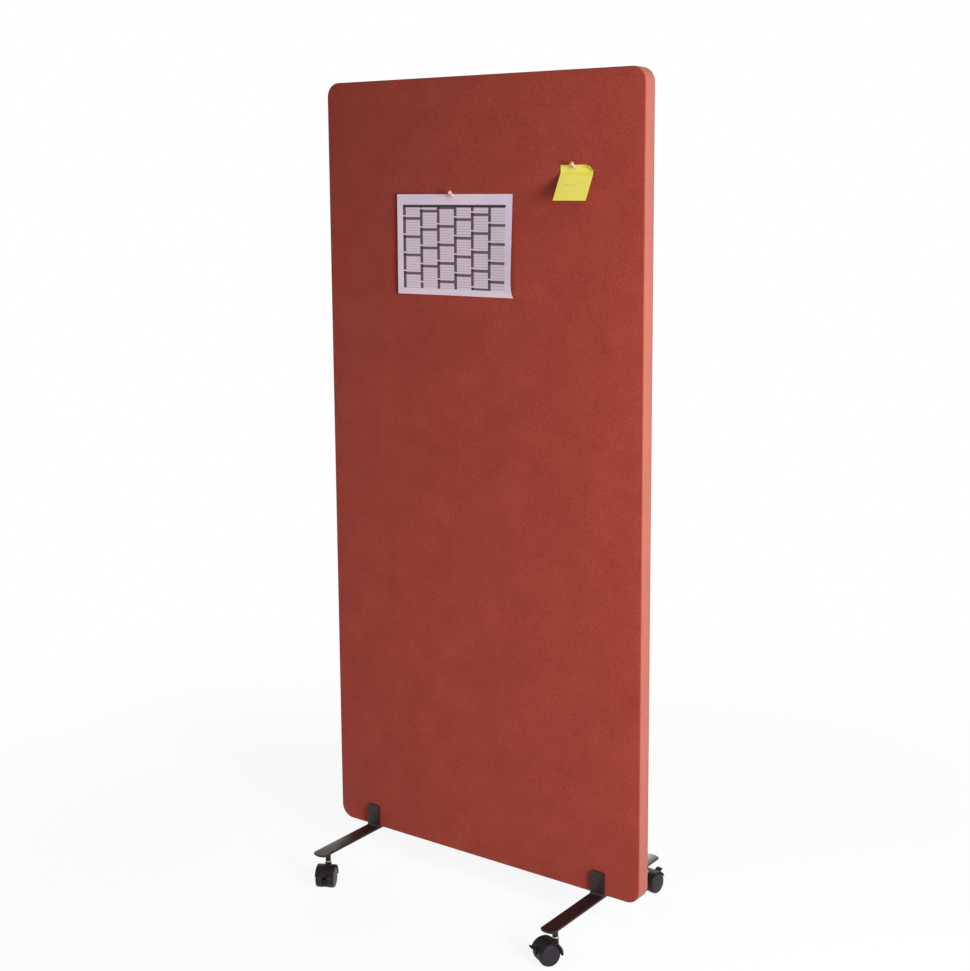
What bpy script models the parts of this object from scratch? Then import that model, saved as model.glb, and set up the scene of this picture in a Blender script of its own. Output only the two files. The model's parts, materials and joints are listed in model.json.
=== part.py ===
"""Mobile pinboard: a fabric-covered panel on two flat steel feet with braked twin-wheel castors.

Metres, +Z up. The origin is on the floor under the middle of the panel, whose front faces -Y.
A castor's own frame has its origin on the floor under the stem, with the wheels trailing to -Y.
"""

import math

import bmesh
import bpy
from mathutils import Matrix, Vector

# Fits
CLEARANCE = 0.0003
OVERRUN = 0.002
MERGE_DISTANCE = 0.000001

# Panel
PANEL_WIDTH = 0.800
PANEL_HEIGHT = 1.675
PANEL_THICKNESS = 0.036
PANEL_CORNER_RADIUS = 0.030
FABRIC_THICKNESS = 0.0015
FABRIC_EDGE_RADIUS = 0.0025
REAR_LIP_DEPTH = 0.0045
BOARD_THICKNESS = 0.008
FRAME_MEMBER_WIDTH = 0.045

# Feet
FOOT_WIDTH = 0.033
FOOT_THICKNESS = 0.005
FOOT_OVERHANG = 0.194
FOOT_INSET = 0.098
FOOT_END_BULGE = 0.005
FOOT_END_CORNER = 0.003
FOOT_EDGE_RADIUS = 0.0008
TAB_HEIGHT = 0.0495
TAB_CORNER_RADIUS = 0.0055
TAB_FILLET_RADIUS = 0.003
BOSS_RADIUS = 0.0058
BOSS_LENGTH = 0.020
STEM_INSET = 0.034

# Fixings between the feet and the bottom rail
SCREW_RADIUS = 0.003
SCREW_LENGTH = 0.018
SCREW_HEAD_RADIUS = 0.0055
SCREW_HEAD_HEIGHT = 0.003
SCREW_HEAD_EDGE = 0.001
SCREW_SPACING = 0.018
INSERT_RADIUS = 0.0045
INSERT_LENGTH = 0.013

# Castor wheels and axle
WHEEL_RADIUS = 0.0225
WHEEL_WIDTH = 0.0157
WHEEL_ROUNDING = 0.0045
WHEEL_INNER_CHAMFER = 0.0008
WHEEL_SIDE_GAP = 0.0005
AXLE_RADIUS = 0.003
AXLE_GRIP = 0.012

# Castor hood
WEB_THICKNESS = 0.011
HOOD_WALL = 0.0033
HOOD_LEAD = 0.0017
HOOD_GAP = 0.001
HOOD_WIDTH = 0.0405
HOOD_EDGE_RADIUS = 0.0025
HOOD_FRONT_ANGLE = -2.0
HOOD_BACK_ANGLE = 158.0
GUARD_RADIUS = 0.0205
GUARD_SETBACK = 8.0
CASTOR_OFFSET = 0.0195
NECK_RADIUS = 0.007
NECK_RISE = 0.027
NECK_TAPER = 0.0007

# Castor stem
STEM_PIN_RADIUS = 0.0035
STEM_PIN_LENGTH = 0.019
STEM_FLANGE_RADIUS = 0.0065
STEM_FLANGE_THICKNESS = 0.0027
STEM_THREAD_RADIUS = 0.004
STEM_THREAD_LENGTH = 0.015

# Castor brake lever
LEVER_ANGLE = 152.0
LEVER_PIVOT_RADIUS = 0.0175
LEVER_TIP_RADIUS = 0.0402
LEVER_ARM_WIDTH = 0.006
LEVER_ARM_THICKNESS = 0.004
LEVER_EYE_RADIUS = 0.0028
LEVER_SWING_ROOM = 0.009
LEVER_TRUNNION_RADIUS = 0.0015
LEVER_PEDAL_WIDTH = 0.0135
LEVER_PEDAL_BASE = 0.006
LEVER_PEDAL_TIP = 0.0032
LEVER_PEDAL_GAP = 0.003

# Push pins
NEEDLE_RADIUS = 0.00055
NEEDLE_INSERTION = 0.006
NEEDLE_POINT = 0.002
NEEDLE_GRIP = 0.0075
PIN_HEAD_LENGTH = 0.0135
PIN_FLANGE_RADIUS = 0.00475
PIN_FLANGE_THICKNESS = 0.0018
PIN_WAIST_RADIUS = 0.0024
PIN_CAP_RADIUS = 0.0041
PIN_CAP_THICKNESS = 0.003

# Paper
SHEET_THICKNESS = 0.0003
CALENDAR_WIDTH = 0.297
CALENDAR_HEIGHT = 0.210
CALENDAR_PIN_INSET = 0.007
CALENDAR_FROM_LEFT = 0.3445
CALENDAR_DROP = 0.246
CALENDAR_LEFT_LIFT = 0.0035
CALENDAR_RIGHT_LIFT = 0.0115
NOTE_SIDE = 0.076
NOTE_PIN_INSET = 0.009
NOTE_FROM_RIGHT = 0.153
NOTE_DROP = 0.192
NOTE_FLAT = 0.012
NOTE_BEND_RADIUS = 0.012
NOTE_ROLL_RADIUS = 0.008
NOTE_ROLL_REACH = 0.014

# Angles in degrees, powers and steps round curves
CALENDAR_PIN_TILT = 40.0
CALENDAR_PIN_TURN = -7.0
NOTE_PIN_TILT = 40.0
NOTE_PIN_TURN = -20.0
NOTE_SLOPE = 28.0
CALENDAR_RETURN_POWER = 14
CORNER_STEPS = 6
ROUND_STEPS = 24
SMALL_ROUND_STEPS = 12
WELL_STEPS = 36
SHARP_ANGLE = math.radians(35.0)

# Heading of each castor: the turn about its stem from trailing to -Y
HEADINGS = {"front_left": 28.0, "front_right": -31.0, "rear_left": 149.0, "rear_right": 175.0}

# Heights above the floor and places that follow from the sizes
NECK_TOP = WHEEL_RADIUS + NECK_RISE
FLANGE_BOTTOM = NECK_TOP + CLEARANCE
FLANGE_TOP = FLANGE_BOTTOM + STEM_FLANGE_THICKNESS
BOSS_BOTTOM = FLANGE_TOP + CLEARANCE
FOOT_BOTTOM = BOSS_BOTTOM + BOSS_LENGTH
FOOT_TOP = FOOT_BOTTOM + FOOT_THICKNESS
PANEL_BOTTOM = FOOT_TOP + CLEARANCE
PANEL_TOP = PANEL_BOTTOM + PANEL_HEIGHT
PANEL_MIDDLE = (PANEL_BOTTOM + PANEL_TOP) / 2
FACE = PANEL_THICKNESS / 2
SKIN = FABRIC_THICKNESS + CLEARANCE
FRAME_FACE = FACE - SKIN - BOARD_THICKNESS - CLEARANCE
FRAME_BOTTOM = PANEL_BOTTOM + SKIN
FRAME_TOP = PANEL_TOP - SKIN
FRAME_SIDE = PANEL_WIDTH / 2 - SKIN
OPENING_SIDE = FRAME_SIDE - FRAME_MEMBER_WIDTH - CLEARANCE
FOOT_X = PANEL_WIDTH / 2 - FOOT_INSET
FOOT_END = FACE + FOOT_OVERHANG
STEM_Y = FOOT_END - STEM_INSET
WEB_SIDE = WEB_THICKNESS / 2
WHEEL_INNER_FACE = WEB_SIDE + WHEEL_SIDE_GAP
WELL_RADIUS = WHEEL_RADIUS + HOOD_GAP
HOOD_RADIUS = WELL_RADIUS + HOOD_WALL
THREAD_TOP = FLANGE_TOP + STEM_THREAD_LENGTH


def clear_scene():
    """Remove every object of the startup scene."""
    for obj in list(bpy.data.objects):
        bpy.data.objects.remove(obj)


def linear(channel):
    """One sRGB channel from 0 to 255 as the linear value a shader takes."""
    share = channel / 255
    return share / 12.92 if share <= 0.04045 else ((share + 0.055) / 1.055) ** 2.4


def material(name, srgb, roughness, metallic=0.0, alpha=1.0):
    """A Principled material of one colour."""
    made = bpy.data.materials.new(name)
    made.use_nodes = True
    shader = made.node_tree.nodes["Principled BSDF"]
    shader.inputs["Base Color"].default_value = (*map(linear, srgb), 1.0)
    shader.inputs["Roughness"].default_value = roughness
    shader.inputs["Metallic"].default_value = metallic
    shader.inputs["Alpha"].default_value = alpha
    return made


def arc(centre, radius, start, end, steps):
    """Points of an arc from one angle to another, in degrees, both ends included."""
    angles = [math.radians(start + (end - start) * i / steps) for i in range(steps + 1)]
    return [(centre[0] + radius * math.cos(a), centre[1] + radius * math.sin(a)) for a in angles]


def rounded_rectangle(width, height, radius):
    """The outline of a rectangle with four round corners, about its middle."""
    across, up = width / 2 - radius, height / 2 - radius
    corners = ((across, up, 0), (-across, up, 90), (-across, -up, 180), (across, -up, 270))
    return [p for x, y, a in corners for p in arc((x, y), radius, a, a + 90, CORNER_STEPS)]


def object_from(name, bm, finish=None):
    """A linked object that holds the bmesh, shaded smooth up to the sharp angle."""
    bmesh.ops.recalc_face_normals(bm, faces=bm.faces)
    mesh = bpy.data.meshes.new(name)
    bm.to_mesh(mesh)
    bm.free()
    return object_with(name, mesh, finish)


def object_with(name, mesh, finish=None):
    """A linked object that uses the mesh."""
    mesh.shade_smooth()
    mesh.set_sharp_from_angle(angle=SHARP_ANGLE)
    if finish:
        mesh.materials.clear()
        mesh.materials.append(finish)
    obj = bpy.data.objects.new(name, mesh)
    bpy.context.collection.objects.link(obj)
    return obj


def on_plane(axis, across, up, along):
    """A point from its two places in the outline's plane and its place along the axis."""
    return {"X": (along, across, up), "Y": (across, along, up), "Z": (across, up, along)}[axis]


def prism(name, outline, axis, low, high, finish=None):
    """An outline extruded along an axis. Its own axes are YZ, XZ or XY."""
    bm = bmesh.new()
    corners = [bm.verts.new(on_plane(axis, u, v, low)) for u, v in outline]
    face = bm.faces.new(corners)
    grown = bmesh.ops.extrude_face_region(bm, geom=[face])["geom"]
    moved = [item for item in grown if isinstance(item, bmesh.types.BMVert)]
    bmesh.ops.translate(bm, verts=moved, vec=on_plane(axis, 0, 0, high - low))
    return object_from(name, bm, finish)


def box(name, low, high, finish=None):
    """A box between two corners."""
    outline = [(low[0], low[1]), (high[0], low[1]), (high[0], high[1]), (low[0], high[1])]
    return prism(name, outline, "Z", low[2], high[2], finish)


def layered(name, rings, finish):
    """A closed solid whose skin runs from ring to ring, with a cap on the first and the last."""
    bm = bmesh.new()
    rows = [[bm.verts.new(point) for point in ring] for ring in rings]
    for below, above in zip(rows, rows[1:]):
        for i, corner in enumerate(below):
            after = (i + 1) % len(below)
            bm.faces.new((corner, below[after], above[after], above[i]))
    bm.faces.new(rows[0])
    bm.faces.new(rows[-1])
    return object_from(name, bm, finish)


def turned(name, profile, finish=None, steps=ROUND_STEPS, axis="Z"):
    """A profile of (radius, place) points, open or closed, turned about an axis."""
    bm = bmesh.new()
    points = [bm.verts.new(on_plane(axis, radius, 0, place)) for radius, place in profile]
    edges = [bm.edges.new(pair) for pair in zip(points, points[1:])]
    if all(radius > 0 for radius, _ in profile):
        edges.append(bm.edges.new((points[-1], points[0])))
    bmesh.ops.spin(bm, geom=points + edges, cent=(0, 0, 0), axis=on_plane(axis, 0, 0, 1),
                   angle=math.tau, steps=steps, use_duplicate=False)
    bmesh.ops.remove_doubles(bm, verts=bm.verts, dist=MERGE_DISTANCE)
    return object_from(name, bm, finish)


def rod(radius, start, end, steps=ROUND_STEPS):
    """A plain cylinder between two points, for joining or cutting."""
    start, end = Vector(start), Vector(end)
    bm = bmesh.new()
    turn = (end - start).to_track_quat("Z", "Y").to_matrix().to_4x4()
    bmesh.ops.create_cone(bm, cap_ends=True, segments=steps, radius1=radius, radius2=radius,
                          depth=(end - start).length,
                          matrix=Matrix.Translation((start + end) / 2) @ turn)
    return object_from("rod", bm)


def bake(obj):
    """Turn the object's modifiers into mesh."""
    graph = bpy.context.evaluated_depsgraph_get()
    mesh = bpy.data.meshes.new_from_object(obj.evaluated_get(graph))
    mesh.name = obj.name
    obj.modifiers.clear()
    obj.data = mesh
    mesh.set_sharp_from_angle(angle=SHARP_ANGLE)


def bevel(obj, width):
    """Break the object's sharp edges."""
    modifier = obj.modifiers.new("Edges", "BEVEL")
    modifier.width = width
    modifier.segments = 1
    modifier.limit_method = "ANGLE"
    bake(obj)


def combine(obj, others, operation):
    """Join the others to the object or cut them out of it. The others are used up."""
    for other in others:
        modifier = obj.modifiers.new(operation.title(), "BOOLEAN")
        modifier.operation = operation
        modifier.solver = "EXACT"
        modifier.object = other
    bpy.context.view_layer.update()
    bake(obj)
    for other in others:
        bpy.data.objects.remove(other)


def hang(obj, parent, location=(0, 0, 0), rotation=(0, 0, 0)):
    """Place the object in its parent's frame."""
    obj.parent = parent
    obj.location = location
    obj.rotation_euler = rotation
    return obj


def empty(name, location, rotation=(0, 0, 0)):
    """A frame that pieces hang from."""
    made = bpy.data.objects.new(name, None)
    made.location = location
    made.rotation_euler = rotation
    bpy.context.collection.objects.link(made)
    return made


def panel_ring(inset, y):
    """The panel's outline, drawn in by the inset, at one depth."""
    outline = rounded_rectangle(PANEL_WIDTH - 2 * inset, PANEL_HEIGHT - 2 * inset,
                                PANEL_CORNER_RADIUS - inset)
    return [(x, y, PANEL_MIDDLE + z) for x, z in outline]


def cover(name, face, rim, finish):
    """A fabric tray over one face of the panel, with a soft edge and walls as deep as the rim."""
    inward = math.copysign(1, rim - face)
    soft = arc((FABRIC_EDGE_RADIUS, FABRIC_EDGE_RADIUS), FABRIC_EDGE_RADIUS, 270, 180, 3)
    rings = [panel_ring(inset, face + inward * depth) for inset, depth in soft]
    rings += [panel_ring(0, rim), panel_ring(FABRIC_THICKNESS, rim)]
    rings.append(panel_ring(FABRIC_THICKNESS, face + inward * FABRIC_THICKNESS))
    return layered(name, rings, finish)


def screw_places():
    """Where the screws go up into the bottom rail, by foot."""
    return {side: [(sign * FOOT_X + step * SCREW_SPACING / 2, 0) for step in (-1, 1)]
            for side, sign in (("left", -1), ("right", 1))}


class Pin:
    """Where one push pin goes in, and the line that its needle follows."""

    def __init__(self, x, z, tilt, turn):
        self.entry = Vector((x, -FACE, z))
        self.rotation = (math.radians(90 - tilt), 0, math.radians(turn))
        self.slant = math.acos(math.cos(math.radians(tilt)) * math.cos(math.radians(turn)))
        out = Matrix.Rotation(self.rotation[2], 3, "Z") @ Matrix.Rotation(self.rotation[0], 3, "X")
        self.out = out @ Vector((0, 0, 1))

    def head_base(self):
        """How far out along the needle the head starts, so that its flange clears the sheet."""
        stack = SHEET_THICKNESS + 2 * CLEARANCE
        return (stack + PIN_FLANGE_RADIUS * math.sin(self.slant)) / math.cos(self.slant)

    def hole(self):
        """The cutter of the needle's hole, from the head down past the needle's point."""
        deep = self.entry - self.out * (NEEDLE_INSERTION + CLEARANCE)
        return rod(NEEDLE_RADIUS + CLEARANCE, deep, self.entry + self.out * self.head_base(),
                   SMALL_ROUND_STEPS)


CALENDAR_PIN = Pin(CALENDAR_FROM_LEFT - PANEL_WIDTH / 2, PANEL_TOP - CALENDAR_DROP,
                   CALENDAR_PIN_TILT, CALENDAR_PIN_TURN)
NOTE_PIN = Pin(PANEL_WIDTH / 2 - NOTE_FROM_RIGHT, PANEL_TOP - NOTE_DROP, NOTE_PIN_TILT,
               NOTE_PIN_TURN)


def build_covers():
    """The two fabric covers, whose rims meet near the rear edge."""
    felt = material("terracotta_felt", (160, 72, 60), 0.95)
    back = material("rear_felt", (150, 66, 56), 0.95)
    rim = FACE - REAR_LIP_DEPTH
    front = cover("front_cover", -FACE, rim - CLEARANCE, felt)
    holes = [rod(SCREW_RADIUS + CLEARANCE, (x, y, PANEL_BOTTOM - OVERRUN),
                 (x, y, FRAME_BOTTOM + OVERRUN), SMALL_ROUND_STEPS)
             for places in screw_places().values() for x, y in places]
    combine(front, holes + [CALENDAR_PIN.hole(), NOTE_PIN.hole()], "DIFFERENCE")
    cover("rear_cover", FACE, rim, back)


def build_boards():
    """The soft fibre boards behind the covers."""
    fibre = material("fibre_board", (176, 150, 112), 0.9)
    depth = FACE - FABRIC_THICKNESS - CLEARANCE
    outline = panel_ring(SKIN, 0)
    for name, low, high in (("front_board", -depth, BOARD_THICKNESS - depth),
                            ("rear_board", depth - BOARD_THICKNESS, depth)):
        board = prism(name, [(x, z) for x, _, z in outline], "Y", low, high, fibre)
        if name == "front_board":
            combine(board, [CALENDAR_PIN.hole(), NOTE_PIN.hole()], "DIFFERENCE")


def stile_outline(sign):
    """A stile's outline, with the panel's round corners on its outer side."""
    radius = PANEL_CORNER_RADIUS - SKIN
    outer, inner = FRAME_SIDE, FRAME_SIDE - FRAME_MEMBER_WIDTH
    points = [(inner, FRAME_BOTTOM)]
    points += arc((outer - radius, FRAME_BOTTOM + radius), radius, 270, 360, CORNER_STEPS)
    points += arc((outer - radius, FRAME_TOP - radius), radius, 0, 90, CORNER_STEPS)
    points.append((inner, FRAME_TOP))
    return [(sign * x, z) for x, z in points]


def build_frame():
    """The timber frame inside the panel, with the infill between its members."""
    timber = material("pine_frame", (205, 172, 120), 0.7)
    wadding = material("acoustic_infill", (206, 203, 196), 1.0)
    for side, sign in (("left", -1), ("right", 1)):
        prism(f"{side}_stile", stile_outline(sign), "Y", -FRAME_FACE, FRAME_FACE, timber)
    rail_bottoms = {"bottom_rail": FRAME_BOTTOM, "top_rail": FRAME_TOP - FRAME_MEMBER_WIDTH}
    for name, low in rail_bottoms.items():
        rail = box(name, (-OPENING_SIDE, -FRAME_FACE, low),
                   (OPENING_SIDE, FRAME_FACE, low + FRAME_MEMBER_WIDTH), timber)
        if name == "bottom_rail":
            bores = [rod(INSERT_RADIUS + CLEARANCE, (x, y, low - OVERRUN),
                         (x, y, low + INSERT_LENGTH + CLEARANCE), SMALL_ROUND_STEPS)
                     for places in screw_places().values() for x, y in places]
            combine(rail, bores, "DIFFERENCE")
    reach = FRAME_MEMBER_WIDTH + CLEARANCE
    box("acoustic_infill", (-OPENING_SIDE, -FRAME_FACE, FRAME_BOTTOM + reach),
        (OPENING_SIDE, FRAME_FACE, FRAME_TOP - reach), wadding)


def build_fixings():
    """The inserts in the bottom rail and the screws that come up through the feet."""
    zinc = material("zinc_fixings", (190, 190, 186), 0.35, 1.0)
    bore = SCREW_RADIUS + CLEARANCE
    insert = [(bore, 0), (INSERT_RADIUS, 0), (INSERT_RADIUS, INSERT_LENGTH), (bore, INSERT_LENGTH)]
    edge = SCREW_HEAD_RADIUS - SCREW_HEAD_EDGE
    screw = [(0, -SCREW_HEAD_HEIGHT), (edge, -SCREW_HEAD_HEIGHT)]
    screw += [(SCREW_HEAD_RADIUS, SCREW_HEAD_EDGE - SCREW_HEAD_HEIGHT), (SCREW_HEAD_RADIUS, 0)]
    screw += [(SCREW_RADIUS, 0), (SCREW_RADIUS, SCREW_LENGTH), (0, SCREW_LENGTH)]
    for side, places in screw_places().items():
        for number, (x, y) in enumerate(places, 1):
            sleeve = turned(f"{side}_insert_{number}", insert, zinc, SMALL_ROUND_STEPS)
            sleeve.location = (x, y, FRAME_BOTTOM)
            bolt = turned(f"{side}_foot_screw_{number}", screw, zinc, SMALL_ROUND_STEPS)
            bolt.location = (x, y, FOOT_BOTTOM - CLEARANCE)


def foot_bar():
    """The flat bar, with its shallow round ends and small corners."""
    half = FOOT_WIDTH / 2
    radius = (half ** 2 + FOOT_END_BULGE ** 2) / (2 * FOOT_END_BULGE)
    sweep = math.degrees(math.asin(half / radius))
    middle = FOOT_END - radius
    outline = arc((0, middle), radius, 90 - sweep, 90 + sweep, CORNER_STEPS)
    outline += arc((0, -middle), radius, 270 - sweep, 270 + sweep, CORNER_STEPS)
    bar = prism("bar", outline, "Z", FOOT_BOTTOM, FOOT_TOP)
    bm = bmesh.new()
    bm.from_mesh(bar.data)
    corners = [edge for edge in bm.edges
               if all(abs(abs(v.co.x) - half) < MERGE_DISTANCE for v in edge.verts)
               and abs(edge.verts[0].co.y - edge.verts[1].co.y) < MERGE_DISTANCE]
    bmesh.ops.bevel(bm, geom=corners, offset=FOOT_END_CORNER, segments=3, profile=0.5,
                    affect="EDGES")
    bm.to_mesh(bar.data)
    bm.free()
    bevel(bar, FOOT_EDGE_RADIUS)
    return bar


def foot_tab(sign):
    """The upright tab against one face of the panel, with the fillet at its root."""
    half = FOOT_WIDTH / 2
    inner = FACE + CLEARANCE
    outer = inner + FOOT_THICKNESS
    root = (FOOT_BOTTOM + FOOT_TOP) / 2
    top = PANEL_BOTTOM + TAB_HEIGHT
    shoulder = (half - TAB_CORNER_RADIUS, top - TAB_CORNER_RADIUS)
    outline = [(half, root)] + arc(shoulder, TAB_CORNER_RADIUS, 0, 90, CORNER_STEPS)
    outline += arc((-shoulder[0], shoulder[1]), TAB_CORNER_RADIUS, 90, 180, CORNER_STEPS)
    outline.append((-half, root))
    plate = prism("tab", outline, "Y", sign * inner, sign * outer)
    bevel(plate, FOOT_EDGE_RADIUS)
    radius = TAB_FILLET_RADIUS
    side = [(outer - FOOT_EDGE_RADIUS, root), (outer + radius, root)]
    side += arc((outer + radius, FOOT_TOP + radius), radius, 270, 180, CORNER_STEPS)
    side.append((outer - FOOT_EDGE_RADIUS, FOOT_TOP + radius))
    width = half - FOOT_EDGE_RADIUS
    fillet = prism("fillet", [(sign * y, z) for y, z in side], "X", -width, width)
    return [plate, fillet]


def build_feet():
    """The two feet: a bar with two tabs and, under its ends, the bosses that take the stems."""
    powder = material("black_powder_coat", (46, 41, 42), 0.55, 0.3)
    for side, sign in (("left", -1), ("right", 1)):
        foot = foot_bar()
        foot.name = f"{side}_foot"
        joined = foot_tab(-1) + foot_tab(1)
        bores = []
        for y in (-STEM_Y, STEM_Y):
            joined.append(rod(BOSS_RADIUS, (0, y, BOSS_BOTTOM), (0, y, FOOT_BOTTOM + OVERRUN)))
            bores.append(rod(STEM_THREAD_RADIUS + CLEARANCE, (0, y, BOSS_BOTTOM - OVERRUN),
                             (0, y, THREAD_TOP + CLEARANCE), SMALL_ROUND_STEPS))
        for step in (-1, 1):
            x = step * SCREW_SPACING / 2
            bores.append(rod(SCREW_RADIUS + CLEARANCE, (x, 0, FOOT_BOTTOM - OVERRUN),
                             (x, 0, FOOT_TOP + OVERRUN), SMALL_ROUND_STEPS))
        combine(foot, joined, "UNION")
        combine(foot, bores, "DIFFERENCE")
        foot.data.materials.clear()
        foot.data.materials.append(powder)
        foot.location = (sign * FOOT_X, 0, 0)


def polar(radius, angle):
    """A place in the castor's side view, round the axle: 0 degrees leads and 90 is up."""
    return (radius * math.cos(math.radians(angle)) - CASTOR_OFFSET,
            radius * math.sin(math.radians(angle)) + WHEEL_RADIUS)


def hood_mesh():
    """The castor's hood: a roof that reaches forward, a neck, and a web that guards the axle."""
    axle = (-CASTOR_OFFSET, WHEEL_RADIUS)
    side = arc((axle[0] + HOOD_LEAD, axle[1]), HOOD_RADIUS, HOOD_FRONT_ANGLE, HOOD_BACK_ANGLE,
               ROUND_STEPS // 2)
    side += arc(axle, GUARD_RADIUS, HOOD_BACK_ANGLE + GUARD_SETBACK,
                360 + HOOD_FRONT_ANGLE - GUARD_SETBACK, ROUND_STEPS // 2)
    hood = prism("hood", side, "X", -HOOD_WIDTH / 2, HOOD_WIDTH / 2)
    bevel(hood, HOOD_EDGE_RADIUS)
    neck_foot = polar(HOOD_RADIUS, HOOD_FRONT_ANGLE)[1]
    neck = turned("neck", [(0, neck_foot), (NECK_RADIUS, neck_foot),
                           (NECK_RADIUS, NECK_TOP - NECK_TAPER),
                           (NECK_RADIUS - NECK_TAPER, NECK_TOP), (0, NECK_TOP)])
    combine(hood, [neck], "UNION")
    cutters = [rod(WELL_RADIUS, (sign * WEB_SIDE, *axle), (sign * HOOD_WIDTH, *axle),
                   WELL_STEPS) for sign in (-1, 1)]
    cutters.append(rod(STEM_PIN_RADIUS + CLEARANCE,
                       (0, 0, FLANGE_BOTTOM - STEM_PIN_LENGTH - CLEARANCE),
                       (0, 0, NECK_TOP + OVERRUN)))
    cutters.append(rod(AXLE_RADIUS + CLEARANCE, (-HOOD_WIDTH, *axle), (HOOD_WIDTH, *axle)))
    pivot = polar(LEVER_PIVOT_RADIUS, LEVER_ANGLE)
    cutters.append(rod(LEVER_TRUNNION_RADIUS + CLEARANCE, (-HOOD_WIDTH, *pivot),
                       (HOOD_WIDTH, *pivot), SMALL_ROUND_STEPS))
    slot_side = LEVER_ARM_WIDTH / 2 + CLEARANCE
    eye_room = LEVER_EYE_RADIUS + CLEARANCE
    slot = box("slot", (-slot_side, -eye_room, -eye_room),
               (slot_side, LEVER_TIP_RADIUS, LEVER_SWING_ROOM))
    slot.location = (0, *pivot)
    slot.rotation_euler = (math.radians(LEVER_ANGLE), 0, 0)
    cutters.append(slot)
    combine(hood, cutters, "DIFFERENCE")
    return used_mesh(hood)


def used_mesh(obj):
    """The object's mesh, with the object itself removed."""
    mesh = obj.data
    bpy.data.objects.remove(obj)
    return mesh


def wheel_mesh():
    """A wheel that lies along +X from the web, with a round shoulder and a flat side disc."""
    inner, outer = WHEEL_INNER_FACE, WHEEL_INNER_FACE + WHEEL_WIDTH
    bore = AXLE_RADIUS + CLEARANCE
    blind = WHEEL_INNER_FACE + AXLE_GRIP + CLEARANCE
    chamfer = WHEEL_INNER_CHAMFER
    profile = [(0, blind), (bore, blind), (bore, inner), (WHEEL_RADIUS - chamfer, inner)]
    profile.append((WHEEL_RADIUS, inner + chamfer))
    shoulder = (WHEEL_RADIUS - WHEEL_ROUNDING, outer - WHEEL_ROUNDING)
    profile += arc(shoulder, WHEEL_ROUNDING, 0, 90, 3)
    profile.append((0, outer))
    return used_mesh(turned("wheel", profile, axis="X"))


def stem_mesh():
    """The stem: a pin in the hood, a bright flange, and the thread that goes up into the boss."""
    profile = [(0, FLANGE_BOTTOM - STEM_PIN_LENGTH), (STEM_PIN_RADIUS, FLANGE_BOTTOM - STEM_PIN_LENGTH),
               (STEM_PIN_RADIUS, FLANGE_BOTTOM), (STEM_FLANGE_RADIUS, FLANGE_BOTTOM),
               (STEM_FLANGE_RADIUS, FLANGE_TOP), (STEM_THREAD_RADIUS, FLANGE_TOP),
               (STEM_THREAD_RADIUS, THREAD_TOP), (0, THREAD_TOP)]
    return used_mesh(turned("stem", profile, steps=SMALL_ROUND_STEPS))


def axle_mesh():
    """The axle, along X about its own middle."""
    reach = WHEEL_INNER_FACE + AXLE_GRIP
    return used_mesh(rod(AXLE_RADIUS, (-reach, 0, 0), (reach, 0, 0), SMALL_ROUND_STEPS))


def lever_mesh():
    """The brake lever about its trunnions, its pedal out along +Y and its travel towards +Z."""
    start = HOOD_RADIUS + LEVER_PEDAL_GAP - LEVER_PIVOT_RADIUS
    tip = LEVER_TIP_RADIUS - LEVER_PIVOT_RADIUS
    base, end = LEVER_PEDAL_BASE / 2, LEVER_PEDAL_TIP / 2
    pedal = prism("pedal", [(start, -base), (tip, -end), (tip, end), (start, base)], "X",
                  -LEVER_PEDAL_WIDTH / 2, LEVER_PEDAL_WIDTH / 2)
    arm_side, half = LEVER_ARM_WIDTH / 2, LEVER_ARM_THICKNESS / 2
    arm = box("arm", (-arm_side, 0, -half), (arm_side, (start + tip) / 2, half))
    eye = rod(LEVER_EYE_RADIUS, (-arm_side, 0, 0), (arm_side, 0, 0), SMALL_ROUND_STEPS)
    trunnion_end = WEB_SIDE - CLEARANCE
    trunnion = rod(LEVER_TRUNNION_RADIUS, (-trunnion_end, 0, 0), (trunnion_end, 0, 0),
                   SMALL_ROUND_STEPS)
    combine(pedal, [arm, eye, trunnion], "UNION")
    return used_mesh(pedal)


def build_castors():
    """The four castors, each hung from a frame on the floor under its stem."""
    plastic = material("black_castor_plastic", (38, 35, 37), 0.45)
    wheel_finish = material("castor_wheel_plastic", (62, 58, 63), 0.5)
    steel = material("zinc_steel", (205, 205, 200), 0.3, 1.0)
    lever_finish = material("brake_lever_plastic", (34, 32, 34), 0.5)
    meshes = {"hood": hood_mesh(), "wheel": wheel_mesh(), "stem": stem_mesh(),
              "axle": axle_mesh(), "brake_lever": lever_mesh()}
    axle_place = (0, -CASTOR_OFFSET, WHEEL_RADIUS)
    pivot = polar(LEVER_PIVOT_RADIUS, LEVER_ANGLE)
    half_turn = (0, 0, math.pi)
    for place, heading in HEADINGS.items():
        end, side = place.split("_")
        x = -FOOT_X if side == "left" else FOOT_X
        y = -STEM_Y if end == "front" else STEM_Y
        frame = empty(f"{place}_castor", (x, y, 0), (0, 0, math.radians(heading)))
        hang(object_with(f"{place}_hood", meshes["hood"], plastic), frame)
        hang(object_with(f"{place}_axle", meshes["axle"], steel), frame, axle_place)
        hang(object_with(f"{place}_wheel_right", meshes["wheel"], wheel_finish), frame, axle_place)
        hang(object_with(f"{place}_wheel_left", meshes["wheel"], wheel_finish), frame, axle_place,
             half_turn)
        hang(object_with(f"{place}_brake_lever", meshes["brake_lever"], lever_finish), frame,
             (0, *pivot), (math.radians(LEVER_ANGLE), 0, 0))
        stem = object_with(f"{place}_stem", meshes["stem"], steel)
        stem.location = (x, y, 0)


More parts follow.
